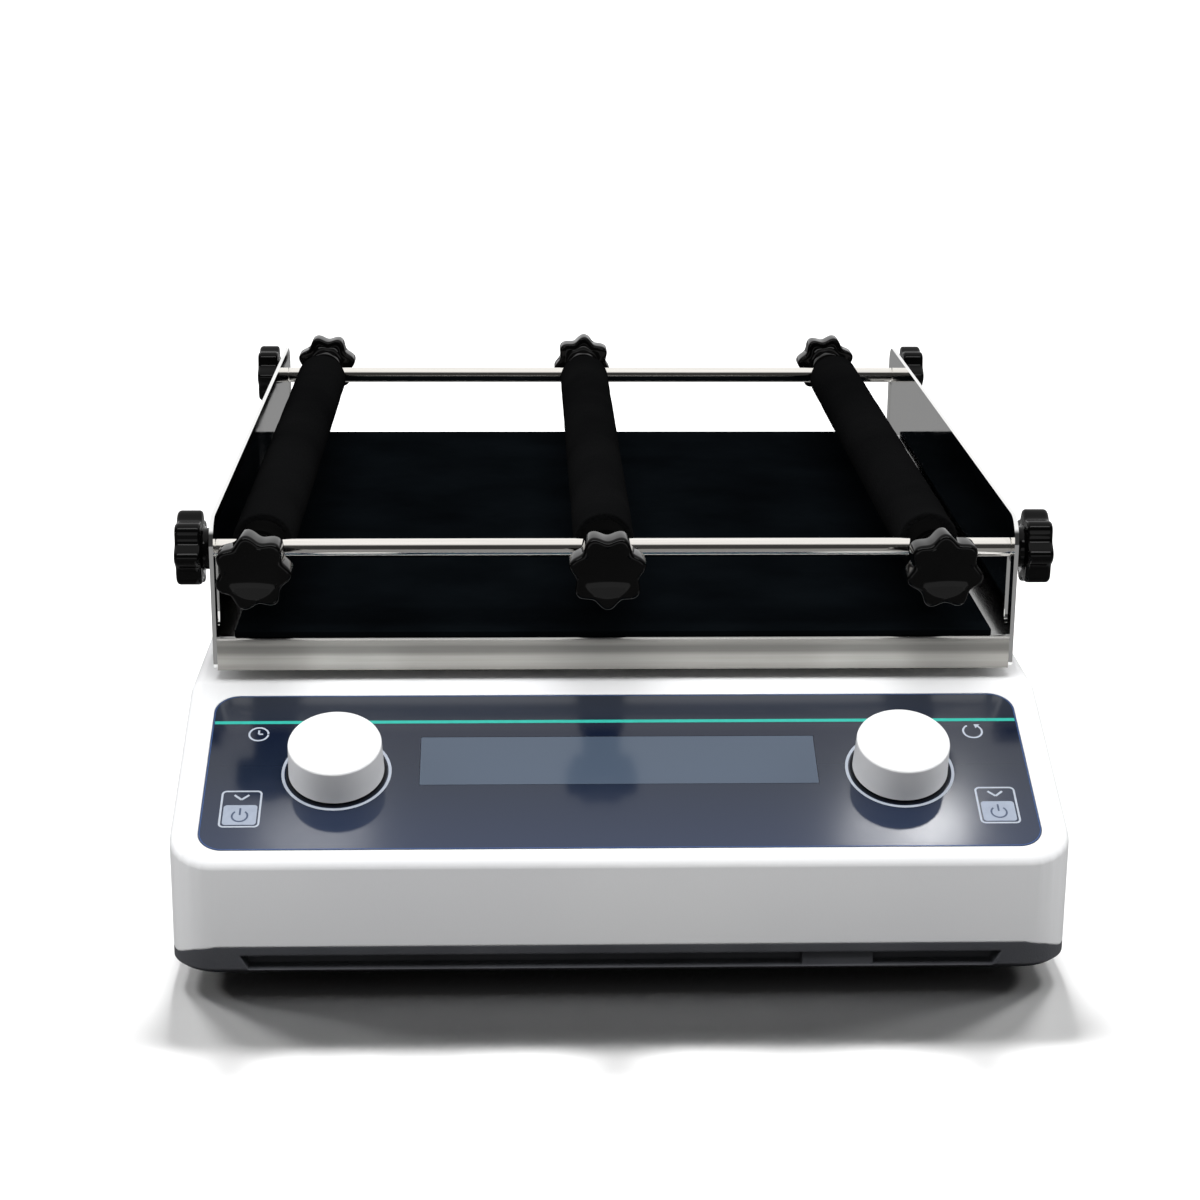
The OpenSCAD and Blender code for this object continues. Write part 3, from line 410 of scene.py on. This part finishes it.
MATERIALS = {
    "housing_plastic": housing_plastic(),
    "chassis_plastic": chassis_plastic(),
    "knob_plastic": knob_plastic(),
    "overlay_film": overlay_film(),
    "display_glass": display_glass(),
    "star_plastic": star_plastic(),
    "roller_foam": roller_foam(),
    "mat_rubber": matt("mat_rubber", (0.0022, 0.003, 0.0038), 0.6, 3000, 0.15, 0.0),
    "clamp_plastic": matt("clamp_plastic", (0.002, 0.002, 0.002), 0.6, 2500, 0.1, 0.0),
    "foot_rubber": matt("foot_rubber", (0.018, 0.018, 0.019), 0.75, 700, 0.3),
    "entry_plastic": matt("entry_plastic", (0.014, 0.014, 0.015), 0.45, 1200, 0.2),
    "rocker_plastic": matt("rocker_plastic", (0.012, 0.012, 0.013), 0.28, 800, 0.05),
    "belt_rubber": matt("belt_rubber", (0.014, 0.014, 0.014), 0.7, 500, 0.3),
    "tray_steel": tray_steel(),
    "mirror_steel": mirror_steel(),
    "rod_steel": steel("rod_steel", (0.90, 0.87, 0.82), 0.11, ALONG_X, 600, 0.04),
    "screw_steel": steel("screw_steel", (0.58, 0.58, 0.59), 0.3, NO_GRAIN, 800, 0.1),
    "encoder_metal": steel("encoder_metal", (0.55, 0.56, 0.57), 0.3, NO_GRAIN, 700, 0.1),
    "plain_steel": steel("plain_steel", (0.5, 0.51, 0.52), 0.4, ALONG_Y, 500, 0.12),
    "cast_aluminium": steel("cast_aluminium", (0.6, 0.61, 0.63), 0.35, ALONG_Z, 500, 0.1),
    "bearing_steel": steel("bearing_steel", (0.62, 0.62, 0.62), 0.16, ALONG_Z, 600, 0.04),
    "lcd_module": steel("lcd_module", (0.35, 0.4, 0.36), 0.4, NO_GRAIN, 400, 0.05),
    "motor_shell": matt("motor_shell", (0.06, 0.065, 0.07), 0.4, 600, 0.1),
    "weight_iron": matt("weight_iron", (0.16, 0.16, 0.17), 0.6, 500, 0.5),
    "board": matt("board", (0.03, 0.12, 0.06), 0.4, 300, 0.1),
}


def dress_cad_nodes():
    """Every CAD node takes the material of its slot in the record."""
    for part in frame["record"]["subparts"]:
        mesh = nodes[part["node"]].data
        mesh.materials.clear()
        mesh.materials.append(MATERIALS[part["material_slot"]])


# Star knobs

# Outline: radius over the lobes, their number, and how far the dips lie inside.
STAR_R = 12 * MM
STAR_LOBES = 7
STAR_DIP = 2.1 * MM
STAR_POINTS = STAR_LOBES * 20
# Hub behind the head; it flares over the last part of its length.
HUB_R = 6.5 * MM
HUB_CHAMFER = 0.3 * MM
HUB_FLARE = 0.5 * MM
HUB_FLARE_START = 0.75
# Head: its thickness on the rods and on the clamps, the rounding of its back and face, and the
# dish in its face.
ROD_HEAD_T = 8.0 * MM
CLAMP_HEAD_T = 9.4 * MM
ROUND_STEPS = 6
BACK_DRAW_IN = 2.2 * MM
BACK_ROUND = 1.0 * MM
FACE_ROUND = 1.5 * MM
FACE_ROUND_SHARE = 0.98
FACE_MARGIN = 0.8 * MM
FACE_DIP_SHARE = 0.8
DISH_R = 7.9 * MM
DISH_LIP = 0.25 * MM
DISH_DEPTH = 0.95 * MM
DISH_STEPS = 10
# Small falls between rings, so that no two lie at one height.
FACE_FALL = 0.01 * MM
LIP_FALL = 0.02 * MM
DISH_FALL = 0.06 * MM
# Stud of a clamp star, from the hub to the clamp block.
STUD_LEN = 3.9 * MM
STUD_SINK = 0.5 * MM
STUD_R = 2.5 * MM
STUD_TIP_R = 2.2 * MM
STUD_SIDES = 32

# Turn of each star about its own axis, in degrees; the front ones follow the photograph.
STAR_TURNS = {
    "front_left_star": 12,
    "front_right_star": 38,
    "back_left_star": 20,
    "back_right_star": 30,
    "left_front_clamp_star": 10,
    "left_back_clamp_star": 30,
    "middle_front_clamp_star": 26,
    "middle_back_clamp_star": 4,
    "right_front_clamp_star": 2,
    "right_back_clamp_star": 18,
}


def star_ring(z, pull=0.0, dip=STAR_DIP):
    """One ring of the lobed outline at height z, drawn in by pull."""
    ring = []
    for i in range(STAR_POINTS):
        a = 2 * math.pi * i / STAR_POINTS
        lobe = (1 + math.cos(STAR_LOBES * a)) / 2
        r = STAR_R - pull - dip * (1 - lobe)
        ring.append(Vector((r * math.cos(a), r * math.sin(a), z)))
    return ring


def round_ring(radius, z):
    """One ring of a circle, with as many points as the lobed rings."""
    turns = [2 * math.pi * i / STAR_POINTS for i in range(STAR_POINTS)]
    return [Vector((radius * math.cos(a), radius * math.sin(a), z)) for a in turns]


def star_head(name, hub_len, head_t):
    """Lobed head with soft rims, a round hub behind and a shallow dish in its face."""
    face = hub_len + head_t
    quarter = [math.pi / 2 * k / ROUND_STEPS for k in range(ROUND_STEPS + 1)]
    hub = [
        round_ring(HUB_R - HUB_CHAMFER, 0),
        round_ring(HUB_R, HUB_CHAMFER),
        round_ring(HUB_R, hub_len * HUB_FLARE_START),
        round_ring(HUB_R + HUB_FLARE, hub_len - LIP_FALL)]
    back = [star_ring(hub_len, BACK_DRAW_IN)]
    back += [star_ring(hub_len + BACK_ROUND * (1 - math.cos(a)), BACK_ROUND * (1 - math.sin(a)))
             for a in quarter]
    rim = [star_ring(face - FACE_ROUND + FACE_ROUND * math.sin(a) * FACE_ROUND_SHARE,
                     FACE_ROUND * (1 - math.cos(a))) for a in quarter]
    rim.append(star_ring(face - FACE_FALL, FACE_ROUND + FACE_MARGIN, STAR_DIP * FACE_DIP_SHARE))
    dish_edge = face - DISH_FALL
    dish = [round_ring(DISH_R + DISH_LIP, face - LIP_FALL), round_ring(DISH_R, dish_edge)]
    for k in range(DISH_STEPS - 1, 0, -1):
        share = k / DISH_STEPS
        dish.append(round_ring(DISH_R * share, dish_edge - DISH_DEPTH * (1 - share ** 2)))
    return capped_skin(name, hub + back + rim + dish)


def add_stud(obj):
    """Threaded stud behind the hub, in the same mesh and sunk a little into it."""
    length = STUD_LEN + STUD_SINK
    bm = bmesh.new()
    bm.from_mesh(obj.data)
    made = bmesh.ops.create_cone(bm, cap_ends=True, segments=STUD_SIDES,
                                 radius1=STUD_TIP_R, radius2=STUD_R, depth=length)
    bmesh.ops.translate(bm, verts=made["verts"], vec=(0, 0, STUD_SINK - length / 2))
    bm.to_mesh(obj.data)
    bm.free()
    for poly in obj.data.polygons:
        poly.use_smooth = True


def star_knob(node, outward, turn):
    """A smooth star knob over the CAD one; outward is the way its face looks."""
    lo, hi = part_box(node)
    axis = max(range(3), key=lambda k: abs(outward[k]))
    near = lo[axis] if outward[axis] > 0 else hi[axis]
    is_clamp = node.endswith("clamp_star")
    head_t = CLAMP_HEAD_T if is_clamp else ROD_HEAD_T
    stud = STUD_LEN if is_clamp else 0.0
    obj = star_head(node + "_dressed", hi[axis] - lo[axis] - head_t - stud, head_t)
    if is_clamp:
        add_stud(obj)
    joint = next(j for j in frame["joints"] if j["child"] == body_of_node[node])
    origin = Vector(joint["pos_m"])
    origin[axis] = near + outward[axis] * stud
    z_dir, x_dir = Vector(outward), Vector((0, 0, 1))
    spin = Matrix.Rotation(math.radians(turn), 4, "Z")
    obj.data.transform(frame_from(origin, x_dir, z_dir.cross(x_dir), z_dir) @ spin)
    finish_piece(obj, body_of_node[node], MATERIALS["star_plastic"], (node,))
    return obj


def make_star_knobs():
    """Stars of the clamps look to the front or back, those of the rods to the left or right."""
    knobs = []
    for node, turn in STAR_TURNS.items():
        if node.endswith("clamp_star"):
            outward = (0, -1, 0) if "_front_" in node else (0, 1, 0)
        else:
            outward = (-1, 0, 0) if "left" in node else (1, 0, 0)
        knobs.append(star_knob(node, outward, turn))
    return knobs


# Foam rollers

# Insets count from the end of the sleeve; the rim is the rounding of its outer edge.
FOAM_SIDES = 72
FOAM_SPANS = 90
FOAM_BORE_R = 4.2 * MM
FOAM_BORE_CHAMFER = 0.6 * MM
FOAM_BORE_INSET = 0.2 * MM
FOAM_RIM = 0.9 * MM
FOAM_RIM_STEPS = 5
FOAM_RIM_FOOT = 0.8 * MM
FOAM_END_SINK = 0.05 * MM
# Waves of the skin: depth, how many go round the roller, and radians per metre along it.
FOAM_WAVES = ((0.05 * MM, 3, 40), (0.06 * MM, 0, 95), (0.04 * MM, 2, 260))


def foam_dent(phases, y, a):
    """How deep the skin lies under its full radius, along the roller and round it."""
    return abs(sum(depth * math.sin(around * a + phase + y * along)
                   for (depth, around, along), phase in zip(FOAM_WAVES, phases)))


def roller_foam_piece(node):
    """Foam sleeve with rounded ends, an open bore and a slightly uneven skin."""
    lo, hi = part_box(node)
    centre = (lo + hi) / 2
    radius = (hi.x - lo.x) / 2
    rng = random.Random(node)
    phases = [rng.uniform(0, 6.28) for _ in FOAM_WAVES]

    def ring(y, r, uneven=False):
        points = []
        for i in range(FOAM_SIDES):
            a = 2 * math.pi * i / FOAM_SIDES
            at = r - foam_dent(phases, y, a) if uneven else r
            points.append(Vector((centre.x + at * math.cos(a), y, centre.z + at * math.sin(a))))
        return points

    end = [(FOAM_BORE_INSET, FOAM_BORE_R), (0.0, FOAM_BORE_R + FOAM_BORE_CHAMFER),
           (FOAM_END_SINK, radius - FOAM_RIM - FOAM_RIM_FOOT)]
    for k in range(FOAM_RIM_STEPS + 1):
        a = math.pi / 2 * k / FOAM_RIM_STEPS
        end.append((FOAM_RIM * (1 - math.cos(a)), radius - FOAM_RIM * (1 - math.sin(a))))
    rings = [ring(lo.y + inset, r) for inset, r in end]
    for k in range(1, FOAM_SPANS):
        along = (hi.y - lo.y - 2 * FOAM_RIM) * k / FOAM_SPANS
        rings.append(ring(lo.y + FOAM_RIM + along, radius, uneven=True))
    rings += [ring(hi.y - inset, r) for inset, r in reversed(end)]
    points = [p for r in rings for p in r]
    obj = mesh_from(node + "_sleeve", points, band_faces(len(rings), FOAM_SIDES, closed=True))
    finish_piece(obj, body_of_node[node], MATERIALS["roller_foam"], (node,))


# Panel print

# Arcs run from one angle to the other, in degrees.
# DROP counts down from the overlay's top edge, RISE up from its bottom edge and IN from its side.
# All print lies PRINT_LIFT over the film, and the power marks lie MARK_LIFT over the other print.
PRINT_LIFT = 0.04 * MM
MARK_LIFT = 0.03 * MM
# Ring round each control knob, and a dark disc of painted shade round its base.
RING_R = 16.6 * MM
RING_W = 0.9 * MM
KNOB_SHADE_R = 15.3 * MM
KNOB_SHADE_HOLE_R = 7.5 * MM
# Accent line and border.
LINE_DROP = 12.3 * MM
LINE_W = 1.35 * MM
LINE_INSET = 0.6 * MM
BORDER_INSET = 0.15 * MM
BORDER_W = 0.28 * MM
BORDER_R = 7.4 * MM
# Clock and turning arrow in the upper corners.
ICON_DROP = 17.6 * MM
ICON_IN = 14.5 * MM
ICON_R = 2.9 * MM
STROKE = 0.6 * MM
LONG_HAND = 1.7 * MM
SHORT_HAND = 1.3 * MM
ARROW_LEN = 1.5 * MM
ARROW_HALF_W = 1.1 * MM
TURN_ARC = (120, 410)
# Push frames in the lower corners; heights in them count from the frame's middle.
PUSH_IN = 11.6 * MM
PUSH_RISE = 17.2 * MM
PUSH_HALF_W = 6.1 * MM
PUSH_HALF_H = 7.8 * MM
PUSH_R = 1.6 * MM
PUSH_GAP = 1.1 * MM
PUSH_FILL_TOP = 1.6 * MM
CHEVRON_STROKE = 0.7 * MM
CHEVRON_HALF_W = 2.2 * MM
CHEVRON_TOP = 5.9 * MM
CHEVRON_TIP = 3.9 * MM
MARK_STROKE = 0.55 * MM
MARK_R = 2.3 * MM
MARK_DROP = 3.0 * MM
MARK_BAR_LOW = -2.6 * MM
MARK_BAR_TOP = 0.3 * MM
MARK_ARC = (130, 410)


def printed(points, faces):
    """Thin print on the panel from (x, up) points."""
    places = [on_panel(x, up, PRINT_LIFT) for x, up in points]
    return mesh_from("print", places, faces, smooth=False)


def filled(outline):
    """Print inside one line of points."""
    return printed(outline, [tuple(range(len(outline)))])


def band(outer, inner, closed=True):
    """Print between two lines of equally many points."""
    n = len(outer)
    faces = [(i, (i + 1) % n, n + (i + 1) % n, n + i) for i in range(n if closed else n - 1)]
    return printed(outer + inner, faces)


def circle_points(x, y, r, count=96, start=0.0, end=360.0):
    """Points on an arc in degrees; a whole circle doesn't repeat its first point."""
    span = math.radians(end - start)
    steps = count if abs(end - start) >= 360 else count - 1
    turns = [math.radians(start) + span * i / steps for i in range(count)]
    return [(x + r * math.cos(a), y + r * math.sin(a)) for a in turns]


def round_rect_points(x0, y0, x1, y1, r, count=10):
    """Points round a rectangle with count of them on each corner."""
    corners = ((x1 - r, y0 + r, -90), (x1 - r, y1 - r, 0), (x0 + r, y1 - r, 90),
               (x0 + r, y0 + r, 180))
    points = []
    for cx, cy, start in corners:
        for i in range(count):
            a = math.radians(start + 90 * i / (count - 1))
            points.append((cx + r * math.cos(a), cy + r * math.sin(a)))
    return points


def arc_band(x, y, r, width, start, end, count=48):
    """Printed arc of some width, open at its ends."""
    return band(circle_points(x, y, r + width / 2, count, start, end),
                circle_points(x, y, r - width / 2, count, start, end), closed=False)


def bar(x0, y0, x1, y1, width):
    """Printed stroke from one point to another."""
    along = Vector((x1 - x0, y1 - y0)).normalized() * (width / 2)
    side = Vector((-along.y, along.x))
    return filled([(x0 + side.x, y0 + side.y), (x1 + side.x, y1 + side.y),
                   (x1 - side.x, y1 - side.y), (x0 - side.x, y0 - side.y)])


def print_piece(name, shapes, ink):
    """Joins printed shapes into one piece that stays with the housing."""
    piece = shapes[0]
    if len(shapes) > 1:
        bpy.ops.object.select_all(action="DESELECT")
        for shape in shapes:
            shape.select_set(True)
        bpy.context.view_layer.objects.active = piece
        bpy.ops.object.join()
    piece.name = name
    finish_piece(piece, "base", ink)


def make_panel_print():
    """Dial rings with painted shade round the knob bases, accent line, border and generic pictograms."""
    grey = ink_and_painted_shade("print_grey", (0.42, 0.46, 0.53))
    dial_xs = (DIAL_LEFT.x, DIAL_RIGHT.x)
    rings = [band(circle_points(x, 0, RING_R), circle_points(x, 0, RING_R - RING_W))
             for x in dial_xs]
    print_piece("dial_rings", rings, grey)
    # Dark print round the base of each knob: painted shade under the knob.
    knob_shades = [band(circle_points(x, 0, KNOB_SHADE_R), circle_points(x, 0, KNOB_SHADE_HOLE_R)) for x in dial_xs]
    print_piece("painted_knob_shade", knob_shades, ink_and_painted_shade("painted_shade_black", (0.002, 0.003, 0.006), 0.6))
    line_y = OVERLAY_TOP - LINE_DROP
    line_x = OVERLAY_HALF_W - LINE_INSET
    line = filled([(-line_x, line_y - LINE_W / 2), (line_x, line_y - LINE_W / 2),
                   (line_x, line_y + LINE_W / 2), (-line_x, line_y + LINE_W / 2)])
    print_piece("accent_line", [line], ink_and_painted_shade("print_teal", (0.03, 0.39, 0.32)))
    edges = [round_rect_points(-OVERLAY_HALF_W + inset, OVERLAY_BOTTOM + inset,
                               OVERLAY_HALF_W - inset, OVERLAY_TOP - inset, r)
             for inset, r in ((BORDER_INSET, BORDER_R),
                              (BORDER_INSET + BORDER_W, BORDER_R - BORDER_W))]
    print_piece("overlay_border", [band(*edges)], ink_and_painted_shade("print_edge", (0.035, 0.08, 0.22)))
    icon_y = OVERLAY_TOP - ICON_DROP
    make_clock_icon(-OVERLAY_HALF_W + ICON_IN, icon_y, grey)
    make_turning_icon(OVERLAY_HALF_W - ICON_IN, icon_y, grey)
    pale = ink_and_painted_shade("print_pale", (0.31, 0.35, 0.43))
    slate = ink_and_painted_shade("print_slate", (0.06, 0.08, 0.13))
    make_push_icon("icon_power_left", -OVERLAY_HALF_W + PUSH_IN, grey, pale, slate)
    make_push_icon("icon_power_right", OVERLAY_HALF_W - PUSH_IN, grey, pale, slate)


def make_clock_icon(x, y, ink):
    """A round face with two hands."""
    print_piece("icon_clock", [
        arc_band(x, y, ICON_R, STROKE, 0, 360, 64),
        bar(x, y, x, y + LONG_HAND, STROKE),
        bar(x, y, x + SHORT_HAND, y, STROKE)], ink)


def make_turning_icon(x, y, ink):
    """An open ring with an arrow head at its end."""
    a = math.radians(TURN_ARC[1])
    out = Vector((math.cos(a), math.sin(a)))
    ahead = Vector((-math.sin(a), math.cos(a)))
    tip = Vector((x, y)) + out * ICON_R
    arrow = filled([tuple(tip + ahead * ARROW_LEN), tuple(tip + out * ARROW_HALF_W),
                    tuple(tip - out * ARROW_HALF_W)])
    print_piece("icon_turning", [arc_band(x, y, ICON_R, STROKE, *TURN_ARC, 64), arrow], ink)


def make_push_icon(name, x, ink, pale, dark):
    """Frame with a press chevron over a power symbol on a pale ground."""
    y = OVERLAY_BOTTOM + PUSH_RISE

    def frame_points(inset, r, top=PUSH_HALF_H):
        half_w = PUSH_HALF_W - inset
        return round_rect_points(x - half_w, y - PUSH_HALF_H + inset, x + half_w, y + top, r)

    outline = band(frame_points(0, PUSH_R),
                   frame_points(STROKE, PUSH_R - STROKE, PUSH_HALF_H - STROKE))
    ground = filled(frame_points(PUSH_GAP, PUSH_R - STROKE, PUSH_FILL_TOP))
    chevron = [bar(x + half_w, y + CHEVRON_TOP, x, y + CHEVRON_TIP, CHEVRON_STROKE)
               for half_w in (-CHEVRON_HALF_W, CHEVRON_HALF_W)]
    power = [arc_band(x, y - MARK_DROP, MARK_R, MARK_STROKE, *MARK_ARC),
             bar(x, y + MARK_BAR_LOW, x, y + MARK_BAR_TOP, MARK_STROKE)]
    for shape in power:
        shape.data.transform(Matrix.Translation(PANEL_OUT * MARK_LIFT))
    print_piece(name + "_ground", [ground], pale)
    print_piece(name, [outline, *chevron], ink)
    print_piece(name + "_mark", power, dark)


# Camera, world, floor and lamps

# The camera was fitted to corners of the object in the photograph: its place, of which one number
# counts from the housing's front, its angles in degrees, and its focal length in pixels.
CAMERA_X = -30.15 * MM
CAMERA_BEFORE_FRONT = 671.4 * MM
CAMERA_Z = 328.9 * MM
CAMERA_YAW = 1.942
CAMERA_PITCH = 17.138
CAMERA_ROLL = 0.423
FOCAL_PX = 2490.7
FRAME_PX = 1200
SENSOR = 36.0

# World: strength as a light, and in reflections in front and behind. It rises from one to the
# other with a ray's lean, which counts how far the ray points up and back.
SKY_LIGHT = 0.02
FRONT_GLOSS = 0.04
BACK_GLOSS = 1.0
LEAN_UP = 0.9
LEAN_BACK = 0.55
LEAN_START = 0.2
LEAN_END = 0.6

# Floor: half its width, its albedo, and the shares of that which reflections and other rays see.
FLOOR_HALF = 6.0
FLOOR_ALBEDO = 0.98
FLOOR_IN_GLOSS = 0.16
FLOOR_BOUNCE = 0.15

# Name, place, target, width, height and power; these light everything but the floor.
LAMPS = (
    ("key_lamp", (0, -0.5, 1.15), (0, -0.15, 0.06), 1.0, 0.7, 17.6),
    ("front_lamp", (-0.2, -1.5, 0.6), (0, 0, 0.06), 1.5, 0.7, 2.0),
    ("left_lamp", (-1.4, -0.1, 0.55), (0, 0, 0.06), 1.2, 0.7, 11.0),
    ("right_lamp", (1.4, -0.1, 0.55), (0, 0, 0.06), 1.2, 0.7, 11.0),
    ("back_lamp", (0.1, 1.6, 0.6), (0, 0, 0.06), 1.5, 0.7, 8.5),
)

# The same for the lamps that give the star knobs their highlights.
STAR_LAMPS = (
    ("soft_box", (0, -0.75, 0.9), (0, 0, 0.1), 1.4, 0.2, 6.0),
    ("low_card", (0, -1.0, 0.14), (0, 0, 0.1), 1.6, 0.26, 1.5),
)

# Glares on the panel film: millimetres across and up from the knob row, width and power.
GLARES = ((-90, -29, 0.07, 0.05), (94, -23, 0.04, 0.09), (79, -29, 0.06, 0.07))
GLARE_FLATNESS = 0.6

# Suns of the floor, all from behind the object: azimuth and elevation in degrees, share of full
# white, and angular size. Together they pass white, so only the deep shadow is grey.
SUNS = (
    (0, 47, 0.66, 8),
    (-25, 45, 0.25, 9), (25, 45, 0.25, 9),
    (-45, 38.5, 0.17, 9), (45, 38.5, 0.17, 9),
    (-65, 28, 0.06, 9), (65, 28, 0.06, 9),
)


def make_camera():
    """The photograph's camera; a picture of FRAME_PX pixels has a focal length of FOCAL_PX."""
    bpy.context.scene.view_settings.view_transform = "Standard"
    data = bpy.data.cameras.new("camera")
    data.sensor_width = SENSOR
    data.sensor_fit = "HORIZONTAL"
    data.lens = FOCAL_PX / FRAME_PX * SENSOR
    data.clip_start = 0.05
    data.clip_end = 50
    camera = add_object("camera", data)
    yaw, pitch, roll = (math.radians(v) for v in (CAMERA_YAW, CAMERA_PITCH, CAMERA_ROLL))
    forward = Vector((math.sin(yaw) * math.cos(pitch), math.cos(yaw) * math.cos(pitch),
                      -math.sin(pitch)))
    right = Vector((math.cos(yaw), -math.sin(yaw), 0))
    up = right.cross(forward)
    side = right * math.cos(roll) + up * math.sin(roll)
    top = up * math.cos(roll) - right * math.sin(roll)
    at = Vector((CAMERA_X, low("upper_housing").y - CAMERA_BEFORE_FRONT, CAMERA_Z))
    camera.matrix_world = frame_from(at, side, top, -forward)
    bpy.context.scene.camera = camera


def make_world():
    """White to the camera; in reflections white behind and dark in front; hardly a light."""
    world = bpy.data.worlds.new("studio")
    bpy.context.scene.world = world
    world.use_nodes = True
    tree = world.node_tree
    back = tree.nodes["Background"]
    back.inputs["Color"].default_value = (1, 1, 1, 1)
    path = tree.nodes.new("ShaderNodeLightPath")

    def math_node(operation, a, b):
        n = tree.nodes.new("ShaderNodeMath")
        n.operation = operation
        for socket, value in zip(n.inputs, (a, b)):
            if isinstance(value, float):
                socket.default_value = value
            else:
                tree.links.new(value, socket)
        return n.outputs[0]

    coord = tree.nodes.new("ShaderNodeTexCoord")
    ray = tree.nodes.new("ShaderNodeSeparateXYZ")
    tree.links.new(coord.outputs["Generated"], ray.inputs["Vector"])
    lean = math_node("ADD", math_node("MULTIPLY", ray.outputs["Z"], LEAN_UP),
                     math_node("MULTIPLY", ray.outputs["Y"], LEAN_BACK))
    level = tree.nodes.new("ShaderNodeMapRange")
    level.interpolation_type = "SMOOTHSTEP"
    level.inputs["From Min"].default_value = LEAN_START
    level.inputs["From Max"].default_value = LEAN_END
    level.inputs["To Min"].default_value = FRONT_GLOSS
    level.inputs["To Max"].default_value = BACK_GLOSS
    tree.links.new(lean, level.inputs["Value"])
    gloss = math_node("MULTIPLY", path.outputs["Is Glossy Ray"], level.outputs["Result"])
    seen = math_node("MAXIMUM", path.outputs["Is Camera Ray"], path.outputs["Is Transmission Ray"])
    strength = math_node("MAXIMUM", math_node("MAXIMUM", seen, gloss), SKY_LIGHT)
    tree.links.new(strength, back.inputs["Strength"])


def make_floor():
    """White floor that keeps the shadow; rays other than the camera's see it darker."""
    h = FLOOR_HALF
    floor = mesh_from("floor", [(-h, -h, 0), (h, -h, 0), (h, h, 0), (-h, h, 0)], [(0, 1, 2, 3)],
                      smooth=False)
    s = Shader("floor_white", (FLOOR_ALBEDO,) * 3, 0.9, spec=0.0)
    path = s.node("ShaderNodeLightPath")
    base = s.mix(path.outputs["Is Camera Ray"],
                 (FLOOR_BOUNCE * FLOOR_ALBEDO,) * 3, (FLOOR_ALBEDO,) * 3)
    gloss = s.node("ShaderNodeMix", data_type="RGBA")
    s.link(path.outputs["Is Glossy Ray"], gloss.inputs["Factor"])
    s.link(base, gloss.inputs["A"])
    gloss.inputs["B"].default_value = (*(FLOOR_IN_GLOSS * FLOOR_ALBEDO,) * 3, 1)
    s.drive(gloss.outputs["Result"], "Base Color")
    floor.data.materials.append(s.mat)
    return floor


def light_group(name, objects, state="INCLUDE"):
    """Collection that limits a lamp to some objects, or keeps it off them."""
    group = bpy.data.collections.new(name)
    for obj in objects:
        group.objects.link(obj)
        group.collection_objects[-1].light_linking.link_state = state
    return group


def area_light(name, at, target, width, height, power, receivers, in_gloss=False):
    """Rectangular lamp that the camera doesn't see, and reflections only where in_gloss says so."""
    data = bpy.data.lights.new(name, "AREA")
    data.energy = power
    data.shape = "RECTANGLE"
    data.size = width
    data.size_y = height
    lamp = add_object(name, data)
    lamp.location = at
    lamp.rotation_euler = (Vector(target) - Vector(at)).to_track_quat("-Z", "Y").to_euler()
    lamp.light_linking.receiver_collection = receivers
    lamp.visible_camera = False
    lamp.visible_glossy = in_gloss


def film_glare(x, up, width, power, film):
    """Lamp 1 m off that the photograph's camera sees mirrored at a place of the film."""
    spot = on_panel(x * MM, up * MM, 0)
    view = (spot - bpy.context.scene.camera.location).normalized()
    bounce = view - 2 * view.dot(PANEL_OUT) * PANEL_OUT
    area_light("glare", spot + bounce, spot, width, width * GLARE_FLATNESS, power, film,
               in_gloss=True)


def floor_sun(azimuth, elevation, share, spread, receivers):
    """Sun that alone would bring the floor to its share of white."""
    a, e = math.radians(azimuth), math.radians(elevation)
    data = bpy.data.lights.new("floor_sun", "SUN")
    data.energy = share * math.pi / math.sin(e) / FLOOR_ALBEDO
    data.angle = math.radians(spread)
    sun = add_object("floor_sun", data)
    ray = Vector((math.sin(a) * math.cos(e), -math.cos(a) * math.cos(e), -math.sin(e)))
    sun.rotation_euler = ray.to_track_quat("-Z", "Y").to_euler()
    sun.light_linking.receiver_collection = receivers


def make_lights(floor, star_knobs):
    """Soft lamps all round for the object, and soft suns from behind for the floor alone."""
    off_floor = light_group("all_but_floor", [floor], "EXCLUDE")
    only_floor = light_group("floor_alone", [floor])
    stars = light_group("star_knobs", star_knobs)
    film = light_group("film_alone", [nodes["panel_overlay"]])
    for lamp in LAMPS:
        area_light(*lamp, off_floor)
    for lamp in STAR_LAMPS:
        area_light(*lamp, stars, in_gloss=True)
    for glare in GLARES:
        film_glare(*glare, film)
    for sun in SUNS:
        floor_sun(*sun, only_floor)


make_camera()
make_world()
dress_cad_nodes()
make_lights(make_floor(), make_star_knobs())
for side in ("left", "middle", "right"):
    roller_foam_piece(side + "_roller_foam")
make_panel_print()
